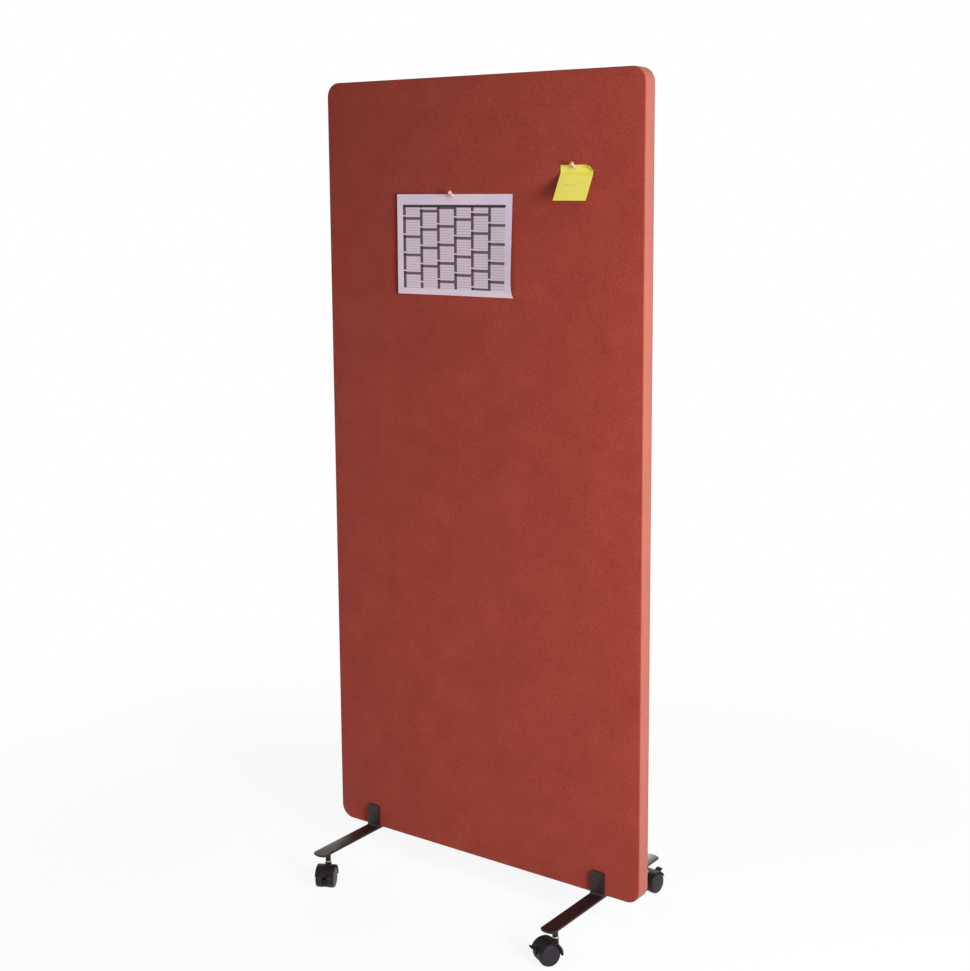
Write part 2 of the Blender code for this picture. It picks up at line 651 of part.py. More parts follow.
def build_pin(name, pin):
    """One push pin: a moulded head on a steel needle, along the pin's own +Z."""
    clear = material(f"{name}_head_clear", (225, 232, 235), 0.08, alpha=0.45)
    steel = material(f"{name}_needle_steel", (200, 200, 200), 0.25, 1.0)
    frame = empty(f"{name}_frame", pin.entry, pin.rotation)
    base = pin.head_base()
    bore = NEEDLE_RADIUS + CLEARANCE
    bore_top = base + NEEDLE_GRIP + CLEARANCE
    top = base + PIN_HEAD_LENGTH
    flange_top = base + PIN_FLANGE_THICKNESS
    cap = top - PIN_CAP_THICKNESS
    middle = (flange_top + cap) / 2
    head = [(0, bore_top), (bore, bore_top), (bore, base), (PIN_FLANGE_RADIUS, base),
            (PIN_FLANGE_RADIUS, flange_top), (PIN_WAIST_RADIUS, middle), (PIN_CAP_RADIUS, cap),
            (PIN_CAP_RADIUS, top), (0, top)]
    hang(turned(f"{name}_head", head, clear), frame)
    needle = [(0, -NEEDLE_INSERTION), (NEEDLE_RADIUS, NEEDLE_POINT - NEEDLE_INSERTION),
              (NEEDLE_RADIUS, base + NEEDLE_GRIP), (0, base + NEEDLE_GRIP)]
    hang(turned(f"{name}_needle", needle, steel, SMALL_ROUND_STEPS), frame)


def build_sheet(name, pin, size, pin_inset, steps, bend, finish):
    """A sheet of paper behind its pin. The bend gives where each place of the flat sheet lies."""
    width, height = size
    columns, rows = steps
    bm = bmesh.new()
    grid = []
    for row in range(rows + 1):
        line = []
        for column in range(columns + 1):
            x, out, drop = bend(width * (column / columns - 0.5), height * row / rows)
            line.append(bm.verts.new((x, -CLEARANCE - out, pin_inset - drop)))
        grid.append(line)
    for upper, lower in zip(grid, grid[1:]):
        for i in range(columns):
            bm.faces.new((upper[i], lower[i], lower[i + 1], upper[i + 1]))
    sheet = object_from(name, bm, finish)
    if sheet.data.polygons[0].normal.y > 0:
        sheet.data.flip_normals()
    sheet.location = pin.entry
    modifier = sheet.modifiers.new("Thickness", "SOLIDIFY")
    modifier.thickness = SHEET_THICKNESS
    modifier.offset = 1.0
    bpy.context.view_layer.update()
    bake(sheet)
    combine(sheet, [pin.hole()], "DIFFERENCE")
    return sheet


def calendar_bend(across, fall):
    """The calendar stands off the board at its sides, most of all low down on the right."""
    side = 2 * across / CALENDAR_WIDTH
    down = fall / CALENDAR_HEIGHT
    out = CALENDAR_LEFT_LIFT * min(0.0, side) ** 2
    out += CALENDAR_RIGHT_LIFT * max(0.0, side) ** 2 * down * (1 - down ** CALENDAR_RETURN_POWER)
    return across, out, fall


def note_bend(across, fall):
    """The note hangs flat, then slopes off the board. Its top right corner is rolled."""
    rolled = 0
    reach = NOTE_ROLL_REACH - (NOTE_SIDE / 2 - across + fall) / math.sqrt(2)
    if reach > 0:
        turn = reach / NOTE_ROLL_RADIUS
        drawn_in = (reach - NOTE_ROLL_RADIUS * math.sin(turn)) / math.sqrt(2)
        rolled = NOTE_ROLL_RADIUS * (1 - math.cos(turn))
        across, fall = across - drawn_in, fall + drawn_in
    slope = math.radians(NOTE_SLOPE)
    bent = min(max(0.0, fall - NOTE_FLAT) / NOTE_BEND_RADIUS, slope)
    straight = max(0.0, fall - NOTE_FLAT - NOTE_BEND_RADIUS * slope)
    out = rolled + NOTE_BEND_RADIUS * (1 - math.cos(bent)) + straight * math.sin(slope)
    drop = min(fall, NOTE_FLAT) + NOTE_BEND_RADIUS * math.sin(bent) + straight * math.cos(slope)
    return across, out, drop


def build_papers():
    """The pinned sheets with their push pins."""
    print_paper = material("calendar_paper", (192, 175, 195), 0.8)
    note_paper = material("yellow_paper", (228, 222, 98), 0.8)
    build_sheet("calendar_sheet", CALENDAR_PIN, (CALENDAR_WIDTH, CALENDAR_HEIGHT),
                CALENDAR_PIN_INSET, (12, 12), calendar_bend, print_paper)
    build_sheet("sticky_note", NOTE_PIN, (NOTE_SIDE, NOTE_SIDE), NOTE_PIN_INSET, (12, 12),
                note_bend, note_paper)
    build_pin("calendar_pin", CALENDAR_PIN)
    build_pin("note_pin", NOTE_PIN)


def main():
    """Build the whole pinboard."""
    clear_scene()
    build_covers()
    build_boards()
    build_frame()
    build_fixings()
    build_feet()
    build_castors()
    build_papers()


main()
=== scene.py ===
"""Looks of the mobile pinboard, built around the packed solids.

Metres, +Z up. The origin is on the floor under the middle of the panel, whose front faces -Y.
A castor's own frame has its origin on the floor under the stem, with the wheels trailing to -Y.
"""

import json
import logging
import math
from collections.abc import Callable, Iterable, Sequence
from dataclasses import dataclass, field, replace
from enum import Enum
from typing import ClassVar

import bmesh
import bpy
from mathutils import Matrix, Vector


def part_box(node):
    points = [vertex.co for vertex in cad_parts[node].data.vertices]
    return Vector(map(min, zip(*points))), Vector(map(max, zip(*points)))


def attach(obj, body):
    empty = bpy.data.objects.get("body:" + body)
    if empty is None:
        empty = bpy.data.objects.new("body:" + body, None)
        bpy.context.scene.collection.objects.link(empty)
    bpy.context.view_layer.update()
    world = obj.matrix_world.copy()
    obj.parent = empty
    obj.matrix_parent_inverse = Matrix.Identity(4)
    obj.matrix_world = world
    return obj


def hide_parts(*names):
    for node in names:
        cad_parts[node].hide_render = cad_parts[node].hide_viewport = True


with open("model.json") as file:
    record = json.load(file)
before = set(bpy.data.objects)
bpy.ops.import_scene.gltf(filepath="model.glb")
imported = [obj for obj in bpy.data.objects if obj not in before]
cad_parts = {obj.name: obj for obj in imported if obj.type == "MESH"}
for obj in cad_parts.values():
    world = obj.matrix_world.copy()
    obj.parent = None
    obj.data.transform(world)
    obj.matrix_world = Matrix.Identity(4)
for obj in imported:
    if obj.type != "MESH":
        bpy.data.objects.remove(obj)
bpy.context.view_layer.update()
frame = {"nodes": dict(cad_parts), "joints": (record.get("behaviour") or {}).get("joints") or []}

Colour = tuple[float, float, float]
Point = tuple[float, float]
Place = tuple[float, float, float]
CLEARANCE = 0.0003
TINY = 0.00001
SHARP_ANGLE = math.radians(40.0)
LOG = logging.getLogger("pinboard")


class Axis(Enum):
    """The axis that an outline is extruded along or a profile is turned about."""

    X = "X"
    Y = "Y"
    Z = "Z"

    def point(self, across: float, up: float, along: float) -> Vector:
        """The point at two places in the outline's plane and one along the axis."""
        return Vector({"X": (along, across, up), "Y": (across, along, up),
                       "Z": (across, up, along)}[self.value])


def linear(srgb: Colour) -> tuple[float, float, float, float]:
    """An sRGB colour from 0 to 255 as the linear colour a shader takes."""
    shares = [channel / 255 for channel in srgb]
    return (*(s / 12.92 if s <= 0.04045 else ((s + 0.055) / 1.055) ** 2.4 for s in shares), 1.0)


def math_step(operation: str, meaning: str) -> Callable[..., "Val"]:
    """A method of a value that adds a Math node.

    Args:
        operation: what the node works out.
        meaning: the method's docstring.

    Returns:
        The method.
    """
    def step(self: "Val", *others: "Operand") -> "Val":
        """Add the node."""
        return self.graph.math(operation, self, *others)

    step.__doc__ = meaning
    return step


class Val:
    """One output of a node, which Python's operators turn into Math nodes."""

    def __init__(self, graph: "Graph", socket: bpy.types.NodeSocket) -> None:
        """Wrap a socket of the graph."""
        self.graph = graph
        self.socket = socket

    def __rsub__(self, other: "Operand") -> "Val":
        """The difference from a number."""
        return self.graph.math("SUBTRACT", other, self)

    __add__ = __radd__ = math_step("ADD", "The sum.")
    __sub__ = math_step("SUBTRACT", "The difference.")
    __mul__ = __rmul__ = math_step("MULTIPLY", "The product.")
    __truediv__ = math_step("DIVIDE", "The quotient.")
    __pow__ = math_step("POWER", "The power.")
    __lt__ = math_step("LESS_THAN", "1 where this is the smaller, and 0 elsewhere.")
    __gt__ = math_step("GREATER_THAN", "1 where this is the larger, and 0 elsewhere.")
    at_least = math_step("MAXIMUM", "The larger of the two.")
    at_most = math_step("MINIMUM", "The smaller of the two.")
    floor = math_step("FLOOR", "The whole number below.")
    fract = math_step("FRACT", "The part above the whole number below.")
    sine = math_step("SINE", "The sine.")
    cosine = math_step("COSINE", "The cosine.")
    size = math_step("ABSOLUTE", "The absolute value.")

    def swing(self, change: float) -> "Val":
        """How far it is from a half, times the change."""
        return (self - 0.5) * change

    def between(self, low: float, high: float) -> "Val":
        """1 between two limits, and 0 elsewhere."""
        return (self > low) * (self < high)

    def ramp(self, low: float, high: float) -> "Val":
        """A smooth step from 0 at the low limit to 1 at the high one.

        Args:
            low: where the step starts.
            high: where it ends.

        Returns:
            The step's value, from 0 to 1.
        """
        return self.graph.node("ShaderNodeMapRange", {"interpolation_type": "SMOOTHSTEP"},
                               {"Value": self, "From Min": low, "From Max": high})


Operand = Val | float | int


@dataclass(frozen=True)
class Noise:
    """A kind of noise.

    It varies so many times per metre, has so many finer layers of some strength, and may be
    twisted.
    """

    scale: float
    detail: float = 2.0
    rough: float = 0.5
    twist: float = 0.0


class Graph:
    """A node tree that is being built."""

    def __init__(self, tree: bpy.types.NodeTree) -> None:
        """Start from a tree."""
        self.tree = tree

    def feed(self, socket: bpy.types.NodeSocket, value: object) -> None:
        """Link a value to a socket, or set the socket to a plain one."""
        for one in value if isinstance(value, list) else [value]:
            if isinstance(one, Val):
                self.tree.links.new(one.socket, socket)
            else:
                socket.default_value = one

    def node(self, kind: str, settings: dict[str, object] | None = None,
             sockets: dict[str, object] | None = None, output: str = "") -> Val:
        """Add a node.

        Args:
            kind: the node's type.
            settings: its own settings, with a colour ramp's stops under "stops".
            sockets: values or links by the socket's identifier.
            output: the identifier of the output to return, or nothing for the first one.

        Returns:
            The wrapped output.
        """
        made = self.tree.nodes.new(kind)
        for key, value in (settings or {}).items():
            if key == "stops":
                self._set_stops(made.color_ramp, value)
            else:
                setattr(made, key, value)
        by_identifier = {socket.identifier: socket for socket in made.inputs}
        for key, value in (sockets or {}).items():
            self.feed(by_identifier[key], value)
        found = [socket for socket in made.outputs if socket.identifier == output]
        return Val(self, found[0] if found else made.outputs[0])

    @staticmethod
    def _set_stops(ramp: bpy.types.ColorRamp, stops: Sequence[tuple[float, Colour]]) -> None:
        """Set a colour ramp's stops, given as places and sRGB colours."""
        while len(ramp.elements) < len(stops):
            ramp.elements.new(1.0)
        for element, (place, colour) in zip(ramp.elements, stops):
            element.position = place
            element.color = linear(colour)

    def math(self, operation: str, *terms: Operand) -> Val:
        """A Math node on one to three terms."""
        keys = ("Value", "Value_001", "Value_002")
        return self.node("ShaderNodeMath", {"operation": operation}, dict(zip(keys, terms)))

    def mix(self, share: Operand, first: object, second: object) -> Val:
        """Mix two colours.

        Args:
            share: how much of the second colour there is.
            first: a colour or a link.
            second: a colour or a link.

        Returns:
            The mixed colour.
        """
        return self.node("ShaderNodeMix", {"data_type": "RGBA"},
                         {"Factor_Float": share, "A_Color": first, "B_Color": second},
                         "Result_Color")

    def vector(self, x: Operand = 0.0, y: Operand = 0.0, z: Operand = 0.0) -> Val:
        """A vector from its three parts."""
        return self.node("ShaderNodeCombineXYZ", None, {"X": x, "Y": y, "Z": z})

    def parts(self, vector: Val) -> tuple[Val, Val, Val]:
        """A vector's three parts."""
        first = self.node("ShaderNodeSeparateXYZ", None, {"Vector": vector}, "X")
        outputs = first.socket.node.outputs
        return first, Val(self, outputs["Y"]), Val(self, outputs["Z"])

    def noise(self, place: Val, kind: Noise) -> Val:
        """Noise of some kind at a place, from about 0 to 1."""
        return self.node("ShaderNodeTexNoise", None,
                         {"Vector": place, "Scale": kind.scale, "Detail": kind.detail,
                          "Roughness": kind.rough, "Distortion": kind.twist})

    def stretched(self, place: Val, turn: Place, stretch: Place) -> Val:
        """Coordinates that are turned and stretched."""
        turned = self.node("ShaderNodeMapping", None, {"Vector": place, "Rotation": turn})
        return self.node("ShaderNodeMapping", None, {"Vector": turned, "Scale": stretch})


class Surface(Graph):
    """A Principled material that is being built."""

    def __init__(self, name: str, constants: dict[str, object]) -> None:
        """Start a material.

        Args:
            name: the material's name.
            constants: what is the same all over the surface, by the shader's socket.
        """
        self.material = bpy.data.materials.new(name)
        self.material.use_nodes = True
        super().__init__(self.material.node_tree)
        self.shader = self.tree.nodes["Principled BSDF"]
        for key, value in constants.items():
            self.shader.inputs[key].default_value = value

    def place(self) -> Val:
        """The object's own coordinates."""
        return self.node("ShaderNodeTexCoord", None, None, "Object")

    def attribute(self, name: str) -> Val:
        """A number that the mesh carries."""
        return self.node("ShaderNodeAttribute", {"attribute_name": name}, None, "Fac")

    def colour(self, value: object) -> None:
        """Set the surface's colour."""
        self.feed(self.shader.inputs["Base Color"], value)

    def dullness(self, level: float, texture: Val, change: float, wear: Operand = 0.0) -> None:
        """Set the roughness.

        Args:
            level: how rough the surface is on the whole.
            texture: what changes that, from 0 to 1.
            change: by how much it does.
            wear: what is added on top.
        """
        self.feed(self.shader.inputs["Roughness"], level + texture.swing(change) + wear)

    def relief(self, height: Val, depth: float, strength: float = 1.0) -> None:
        """Raise the surface by a height from 0 to 1 that stands for a depth in metres."""
        bump = self.node("ShaderNodeBump", None,
                         {"Height": height, "Distance": depth, "Strength": strength})
        self.feed(self.shader.inputs["Normal"], bump)


@dataclass(frozen=True)
class Finish:
    """What a surface is made of: its tones, the noises that vary them, and its relief.

    A relief is a depth in metres and its strength.
    """

    name: str

    def start(self, constants: dict[str, object]) -> tuple[Surface, Val]:
        """Start the material, and give the object's own coordinates."""
        surface = Surface(self.name, constants)
        return surface, surface.place()

    def make(self) -> bpy.types.Material:
        """Build the material."""
        raise NotImplementedError


@dataclass(frozen=True)
class Felt(Finish):
    """Melange felt: short pressed fibres of a dark, a main and a light tone.

    Where it is stretched round an edge its fibres open, and it looks paler.
    """

    dark: Colour
    main: Colour
    light: Colour
    # The paler tone of the painted highlight on the side faces, and how much of it they get.
    painted_side_highlight: Colour = (216, 176, 158)
    painted_side_highlight_share: float = 0.16
    rough: float = 0.95
    gloss: float = 0.18
    sheen: Point = (0.18, 0.4)
    sheen_tint: tuple[float, ...] = (1.0, 0.86, 0.82, 1.0)
    fibre: Noise = Noise(900.0, 1.0, 0.5, 0.6)
    fibre_stretch: float = 0.16
    fibre_turns: tuple[float, ...] = (0.35, 1.45, 2.4)
    fibre_tilt: float = 0.3
    fibre_level: float = 0.6
    fleck: Noise = Noise(330.0, 2.0, 0.6, 0.8)
    cloud: Noise = Noise(14.0, 3.0, 0.55)
    contrasts: Place = (0.6, 0.55, 0.25)
    tone_places: Place = (0.2, 0.5, 0.82)
    fibre_height: float = 0.7
    relief: Point = (0.00035, 0.8)

    def fibres(self, surface: Surface, place: Val) -> Val:
        """How high the uppermost of the crossing fibres lies, from 0 to 1."""
        top = None
        for turn in self.fibre_turns:
            line = surface.stretched(place, (turn * self.fibre_tilt, turn, 0.0),
                                     (1.0, 1.0, self.fibre_stretch))
            strand = surface.noise(line, self.fibre)
            top = strand if top is None else top.at_least(strand)
        return top

    def make(self) -> bpy.types.Material:
        """Build the material."""
        weight, spread = self.sheen
        surface, place = self.start({
            "Roughness": self.rough, "Specular IOR Level": self.gloss,
            "Sheen Weight": weight, "Sheen Roughness": spread, "Sheen Tint": self.sheen_tint})
        fibres = self.fibres(surface, place)
        flecks = surface.noise(place, self.fleck)
        clouds = surface.noise(place, self.cloud)
        of_fibres, of_flecks, of_clouds = self.contrasts
        tone = (fibres - self.fibre_level) * of_fibres + flecks.swing(of_flecks)
        tone = tone + clouds.swing(of_clouds) + 0.5
        stops = tuple(zip(self.tone_places, (self.dark, self.main, self.light)))
        melange = surface.node("ShaderNodeValToRGB", {"stops": stops}, {"Fac": tone})
        # Painted highlight: the side faces are mixed towards the paler tone.
        stretched = surface.attribute("wrap") * self.painted_side_highlight_share
        surface.colour(surface.mix(stretched, melange, linear(self.painted_side_highlight)))
        height = fibres * self.fibre_height + flecks * (1.0 - self.fibre_height)
        surface.relief(height, *self.relief)
        return surface.material


@dataclass(frozen=True)
class PowderCoat(Finish):
    """Fine-textured powder coat with a few dull scuffs."""

    main: Colour
    scuffed: Colour
    gloss: float = 0.34
    # Red tint on the gloss: a painted reflection of the red felt.
    red_reflection_tint: tuple[float, ...] = (1.0, 0.8, 0.77, 1.0)
    grain: Noise = Noise(1500.0, 2.0, 0.6)
    grain_share: float = 0.35
    scuff: Noise = Noise(60.0, 4.0, 0.65, 0.5)
    scuff_turn: Place = (0.0, 0.0, 0.5)
    scuff_stretch: Place = (1.0, 0.2, 1.0)
    scuff_reach: Point = (0.6, 0.75)
    scuff_share: float = 0.35
    scuff_rough: float = 0.25
    rough: Point = (0.4, 0.16)
    relief: Point = (0.00008, 0.6)

    def make(self) -> bpy.types.Material:
        """Build the material."""
        surface, place = self.start({"Specular IOR Level": self.gloss,
                                     "Specular Tint": self.red_reflection_tint})
        grain = surface.noise(place, self.grain)
        line = surface.stretched(place, self.scuff_turn, self.scuff_stretch)
        scuffs = surface.noise(line, self.scuff).ramp(*self.scuff_reach) * self.scuff_share
        base = surface.mix(grain * self.grain_share, linear(self.main), linear(self.scuffed))
        surface.colour(surface.mix(scuffs, base, linear(self.scuffed)))
        level, change = self.rough
        surface.dullness(level, grain, change, scuffs * self.scuff_rough)
        surface.relief(grain, *self.relief)
        return surface.material


@dataclass(frozen=True)
class MouldedPlastic(Finish):
    """Moulded nylon with a fine spark-eroded grain and a trace of dust low down."""

    main: Colour
    dust: Colour
    gloss: float = 0.13
    grain: Noise = Noise(2200.0, 2.0, 0.6)
    grain_share: float = 0.2
    smear: Noise = Noise(130.0, 3.0, 0.6)
    dust_height: float = 0.03
    dust_reach: Point = (0.35, 0.7)
    dust_share: float = 0.18
    dust_rough: float = 0.5
    rough: Point = (0.55, 0.18)
    relief: Point = (0.00006, 0.5)

    def make(self) -> bpy.types.Material:
        """Build the material."""
        surface, place = self.start({"Specular IOR Level": self.gloss})
        grain = surface.noise(place, self.grain)
        smears = surface.noise(place, self.smear)
        low = 1.0 - surface.parts(place)[2].ramp(0.0, self.dust_height)
        dust = low * smears.ramp(*self.dust_reach) * self.dust_share
        base = surface.mix(grain * self.grain_share, linear(self.main), linear(self.dust))
        surface.colour(surface.mix(dust, base, linear(self.dust)))
        level, change = self.rough
        surface.dullness(level, smears, change, dust * self.dust_rough)
        surface.relief(grain, *self.relief)
        return surface.material


@dataclass(frozen=True)
class WheelPlastic(Finish):
    """Moulded wheel nylon, worn on the tread, with fine rings on the side disc."""

    main: Colour
    tread: Colour
    worn: Colour
    tread_radius: float
    tread_edge: Point = (0.0012, 0.0002)
    gloss: float = 0.27
    grain: Noise = Noise(1800.0, 2.0, 0.6)
    grain_share: float = 0.12
    mark: Noise = Noise(260.0, 4.0, 0.65, 0.4)
    mark_reach: Point = (0.35, 0.65)
    worn_share: float = 0.3
    worn_rough: float = 0.2
    rough: Point = (0.44, 0.15)
    ring_rate: float = 9000.0
    ring_height: float = 0.3
    relief: Point = (0.00005, 0.45)

    def make(self) -> bpy.types.Material:
        """Build the material, which reads the mesh's distance from the axle."""
        surface, place = self.start({"Specular IOR Level": self.gloss})
        radius = surface.attribute("axle_distance")
        grain = surface.noise(place, self.grain)
        marks = surface.noise(place, self.mark)
        tread = radius.ramp(*(self.tread_radius - inset for inset in self.tread_edge))
        worn = tread * marks.ramp(*self.mark_reach) * self.worn_share
        base = surface.mix(tread, linear(self.main), linear(self.tread))
        share = worn + grain * self.grain_share
        surface.colour(surface.mix(share, base, linear(self.worn)))
        level, change = self.rough
        surface.dullness(level, marks, change, worn * self.worn_rough)
        rings = (radius * self.ring_rate).sine() * 0.5 + 0.5
        height = rings * (1.0 - tread) * self.ring_height + grain * (1.0 - self.ring_height)
        surface.relief(height, *self.relief)
        return surface.material


@dataclass(frozen=True)
class Metal(Finish):
    """Plated or polished steel with a soft variation in its gloss."""

    main: Colour
    dull: Colour
    rough: float
    rough_change: float = 0.2
    cloud: Noise = Noise(420.0, 3.0, 0.6)
    cloud_reach: Point = (0.35, 0.7)
    scratch: Noise = Noise(3000.0, 2.0)
    scratch_turn: Place = (0.2, 0.1, 0.0)
    scratch_stretch: Place = (1.0, 1.0, 0.1)
    relief: Point = (0.00002, 0.4)

    def make(self) -> bpy.types.Material:
        """Build the material."""
        surface, place = self.start({"Metallic": 1.0})
        clouds = surface.noise(place, self.cloud)
        line = surface.stretched(place, self.scratch_turn, self.scratch_stretch)
        share = clouds.ramp(*self.cloud_reach)
        surface.colour(surface.mix(share, linear(self.main), linear(self.dull)))
        surface.dullness(self.rough, clouds, self.rough_change)
        surface.relief(surface.noise(line, self.scratch), *self.relief)
        return surface.material


@dataclass(frozen=True)
class Paper(Finish):
    """Paper with fine fibres, which the sheets below print or dye."""

    paper: Colour
    gloss: ClassVar[float] = 0.3
    fibre: ClassVar[Noise] = Noise(1600.0, 3.0, 0.6)
    rough_change: ClassVar[float] = 0.1
    relief: ClassVar[Point] = (0.00003, 0.5)

    def begin(self) -> tuple[Surface, Val, Val, Val]:
        """Start the material, and give its own coordinates and the places on the sheet."""
        surface, place = self.start({"Specular IOR Level": self.gloss})
        sheet = surface.node("ShaderNodeUVMap", {"uv_map": "UVMap"})
        across, up, _ = surface.parts(sheet)
        return surface, place, across, 1.0 - up

    def end(self, surface: Surface, place: Val, rough: float) -> bpy.types.Material:
        """Lay the fibres and give the material."""
        fibres = surface.noise(place, self.fibre)
        surface.dullness(rough, fibres, self.rough_change)
        surface.relief(fibres, *self.relief)
        return surface.material


@dataclass(frozen=True)
class PlannerPaper(Paper):
    """Printed paper: six columns of boxes at different heights, ruled inside."""

    cool: Colour
    inside: Colour
    bar: Colour
    upright: Colour
    rule: Colour
    left_share: float = 0.050
    right_share: float = 0.946
    head_share: float = 0.104
    foot_share: float = 0.938
    row_share: float = 0.1828
    row_start_shares: tuple[float, ...] = (0.2270, 0.1530, 0.1200, 0.2335, 0.1850, 0.2870)
    row_counts: tuple[int, ...] = (4, 4, 5, 4, 5, 4)
    bar_share: float = 0.027
    upright_share: float = 0.165
    gap_shares: Point = (0.90, 0.97)
    rules_per_row: float = 7.0
    rule_share: float = 0.24
    rule_reach_shares: Point = (0.17, 0.95)
    cloud: Noise = Noise(22.0, 2.0)
    cloud_reach: Point = (0.3, 0.7)
    wear: Noise = Noise(500.0, 2.0)
    wear_share: float = 0.2
    tint_share: float = 0.8
    rough: float = 0.75

    def layout(self, across: Val, down: Val) -> dict[str, Val]:
        """Where the ink lies.

        Args:
            across: the place across the sheet, from 0 to 1.
            down: the place down the sheet, from 0 to 1.

        Returns:
            The masks of the printed field, the bars, the uprights and the thin rules.
        """
        columns = len(self.row_start_shares)
        column = (across - self.left_share) * (columns / (self.right_share - self.left_share))
        number = column.floor()
        printed = down.between(self.head_share, self.foot_share)
        printed = column.between(0.0, float(columns)) * printed
        start: Operand = 0.0
        count: Operand = 0.0
        for index, share in enumerate(self.row_start_shares):
            chosen = (number - index).size() < 0.5
            start = chosen * share + start
            count = chosen * self.row_counts[index] + count
        row = (down - start) / self.row_share
        phase = row.fract()
        reach = column - number
        head = down < self.head_share + self.bar_share
        ruled = (row > 0.0) * (row < count)
        bars = (phase < self.bar_share / self.row_share) * ruled
        bars = bars.at_least(head) * printed
        standing = (reach < self.upright_share) * (1.0 - phase.between(*self.gap_shares))
        uprights = standing.at_least(head) * printed
        rules = (phase * self.rules_per_row).fract() < self.rule_share
        rules = rules * reach.between(*self.rule_reach_shares) * printed * (1.0 - bars)
        return {"field": printed, "bars": bars, "uprights": uprights, "rules": rules}

    def make(self) -> bpy.types.Material:
        """Build the material."""
        surface, place, across, down = self.begin()
        ink = self.layout(across, down)
        clouds = surface.noise(place, self.cloud).ramp(*self.cloud_reach)
        worn = surface.noise(place, self.wear) * self.wear_share + (1.0 - self.wear_share)
        tone = surface.mix(clouds, linear(self.paper), linear(self.cool))
        for mask, share, colour in (("field", self.tint_share, self.inside),
                                    ("rules", self.tint_share, self.rule),
                                    ("bars", worn, self.bar),
                                    ("uprights", worn, self.upright)):
            tone = surface.mix(ink[mask] * share, tone, linear(colour))
        surface.colour(tone)
        return self.end(surface, place, self.rough)


@dataclass(frozen=True)
class NotePaper(Paper):
    """Dyed note paper with a faint pencil line and a deeper tone along its gummed top."""

    gum_and_shade: Colour
    pencil: Colour
    edge: Noise = Noise(60.0, 2.0)
    edge_share: float = 0.12
    gum_and_shade_reach: Point = (0.04, 0.2)
    gum_and_shade_share: float = 0.75
    line_down: Point = (0.555, 0.011)
    line_across: Point = (0.2, 0.6)
    line_wave: Point = (75.0, 0.008)
    ticks_down: Point = (0.47, 0.016)
    ticks_across: Point = (0.52, 0.72)
    ticks_wave: float = 3.0
    tick_rate: float = 120.0
    tick_level: float = 0.1
    lead: Noise = Noise(700.0)
    lead_reach: Point = (0.25, 0.55)
    pencil_share: float = 0.4
    rough: float = 0.72

    def make(self) -> bpy.types.Material:
        """Build the material."""
        surface, place, across, down = self.begin()
        # Painted shade: the darker top band reaches lower towards the right, where the corner is
        # rolled; it is partly the gum's tone.
        edge = (across + surface.noise(place, self.edge)) * self.edge_share
        gum_and_shade_mask = 1.0 - (down - edge).ramp(*self.gum_and_shade_reach)
        base = surface.mix(gum_and_shade_mask * self.gum_and_shade_share, linear(self.paper), linear(self.gum_and_shade))
        rate, height = self.line_wave
        wave = (across * rate).sine() * height
        middle, half = self.line_down
        line = (down - wave - middle).size() < half
        line = line * across.between(*self.line_across)
        middle, half = self.ticks_down
        ticks = (down - wave * self.ticks_wave - middle).size() < half
        ticks = ticks * across.between(*self.ticks_across)
        ticks = ticks * ((across * self.tick_rate).sine() > self.tick_level)
        lead = surface.noise(place, self.lead).ramp(*self.lead_reach)
        marks = line.at_least(ticks) * lead
        surface.colour(surface.mix(marks * self.pencil_share, base, linear(self.pencil)))
        return self.end(surface, place, self.rough)


@dataclass(frozen=True)
class ClearPlastic(Finish):
    """Clear moulded plastic with faint flow lines."""

    # Pale pink: the felt's colour seen through the clear head, painted into the plastic.
    felt_pink_tint: Colour
    clearness: float = 0.72
    bending: float = 1.5
    flow: Noise = Noise(300.0, 2.0, 0.5, 1.0)
    flow_tone: float = 0.97
    rough: Point = (0.13, 0.08)
    relief: Point = (0.00002, 0.4)

    def make(self) -> bpy.types.Material:
        """Build the material."""
        surface, place = self.start({"Transmission Weight": self.clearness,
                                     "IOR": self.bending})
        flow = surface.noise(place, self.flow)
        pale = linear(tuple(self.flow_tone * channel for channel in self.felt_pink_tint))
        surface.colour(surface.mix(flow, linear(self.felt_pink_tint), pale))
        level, change = self.rough
        surface.dullness(level, flow, change)
        surface.relief(flow, *self.relief)
        return surface.material


@dataclass(frozen=True)
class Fibrous(Finish):
    """Board, timber or wadding: streaks or specks of a second tone."""

    main: Colour
    second: Colour
    scale: float
    stretch: Place
    rough: float
    relief_depth: float
    gloss: float = 0.2
    streak: Noise = Noise(1.0, 4.0, 0.65, 0.8)
    streak_reach: Point = (0.35, 0.65)
    streak_shares: Point = (0.7, 0.6)
    fine: Noise = Noise(6.0, 2.0)
    strength: float = 0.7

    def make(self) -> bpy.types.Material:
        """Build the material, whose noises vary with the scale."""
        surface, place = self.start({"Roughness": self.rough,
                                     "Specular IOR Level": self.gloss})
        place = surface.stretched(place, (0.0, 0.0, 0.0), self.stretch)
        streaks, fine = (surface.noise(place, replace(kind, scale=kind.scale * self.scale))
                         for kind in (self.streak, self.fine))
        of_tone, of_height = self.streak_shares
        share = streaks.ramp(*self.streak_reach) * of_tone + fine * (1.0 - of_tone)
        surface.colour(surface.mix(share, linear(self.main), linear(self.second)))
        height = streaks * of_height + fine * (1.0 - of_height)
        surface.relief(height, self.relief_depth, self.strength)
        return surface.material


def linked(name: str, data: bpy.types.ID) -> bpy.types.Object:
    """A new object in the scene that holds the data."""
    obj = bpy.data.objects.new(name, data)
    bpy.context.scene.collection.objects.link(obj)
    return obj


def evaluated(obj: bpy.types.Object) -> bpy.types.Mesh:
    """The object's mesh with its modifiers applied."""
    graph = bpy.context.evaluated_depsgraph_get()
    return bpy.data.meshes.new_from_object(obj.evaluated_get(graph))


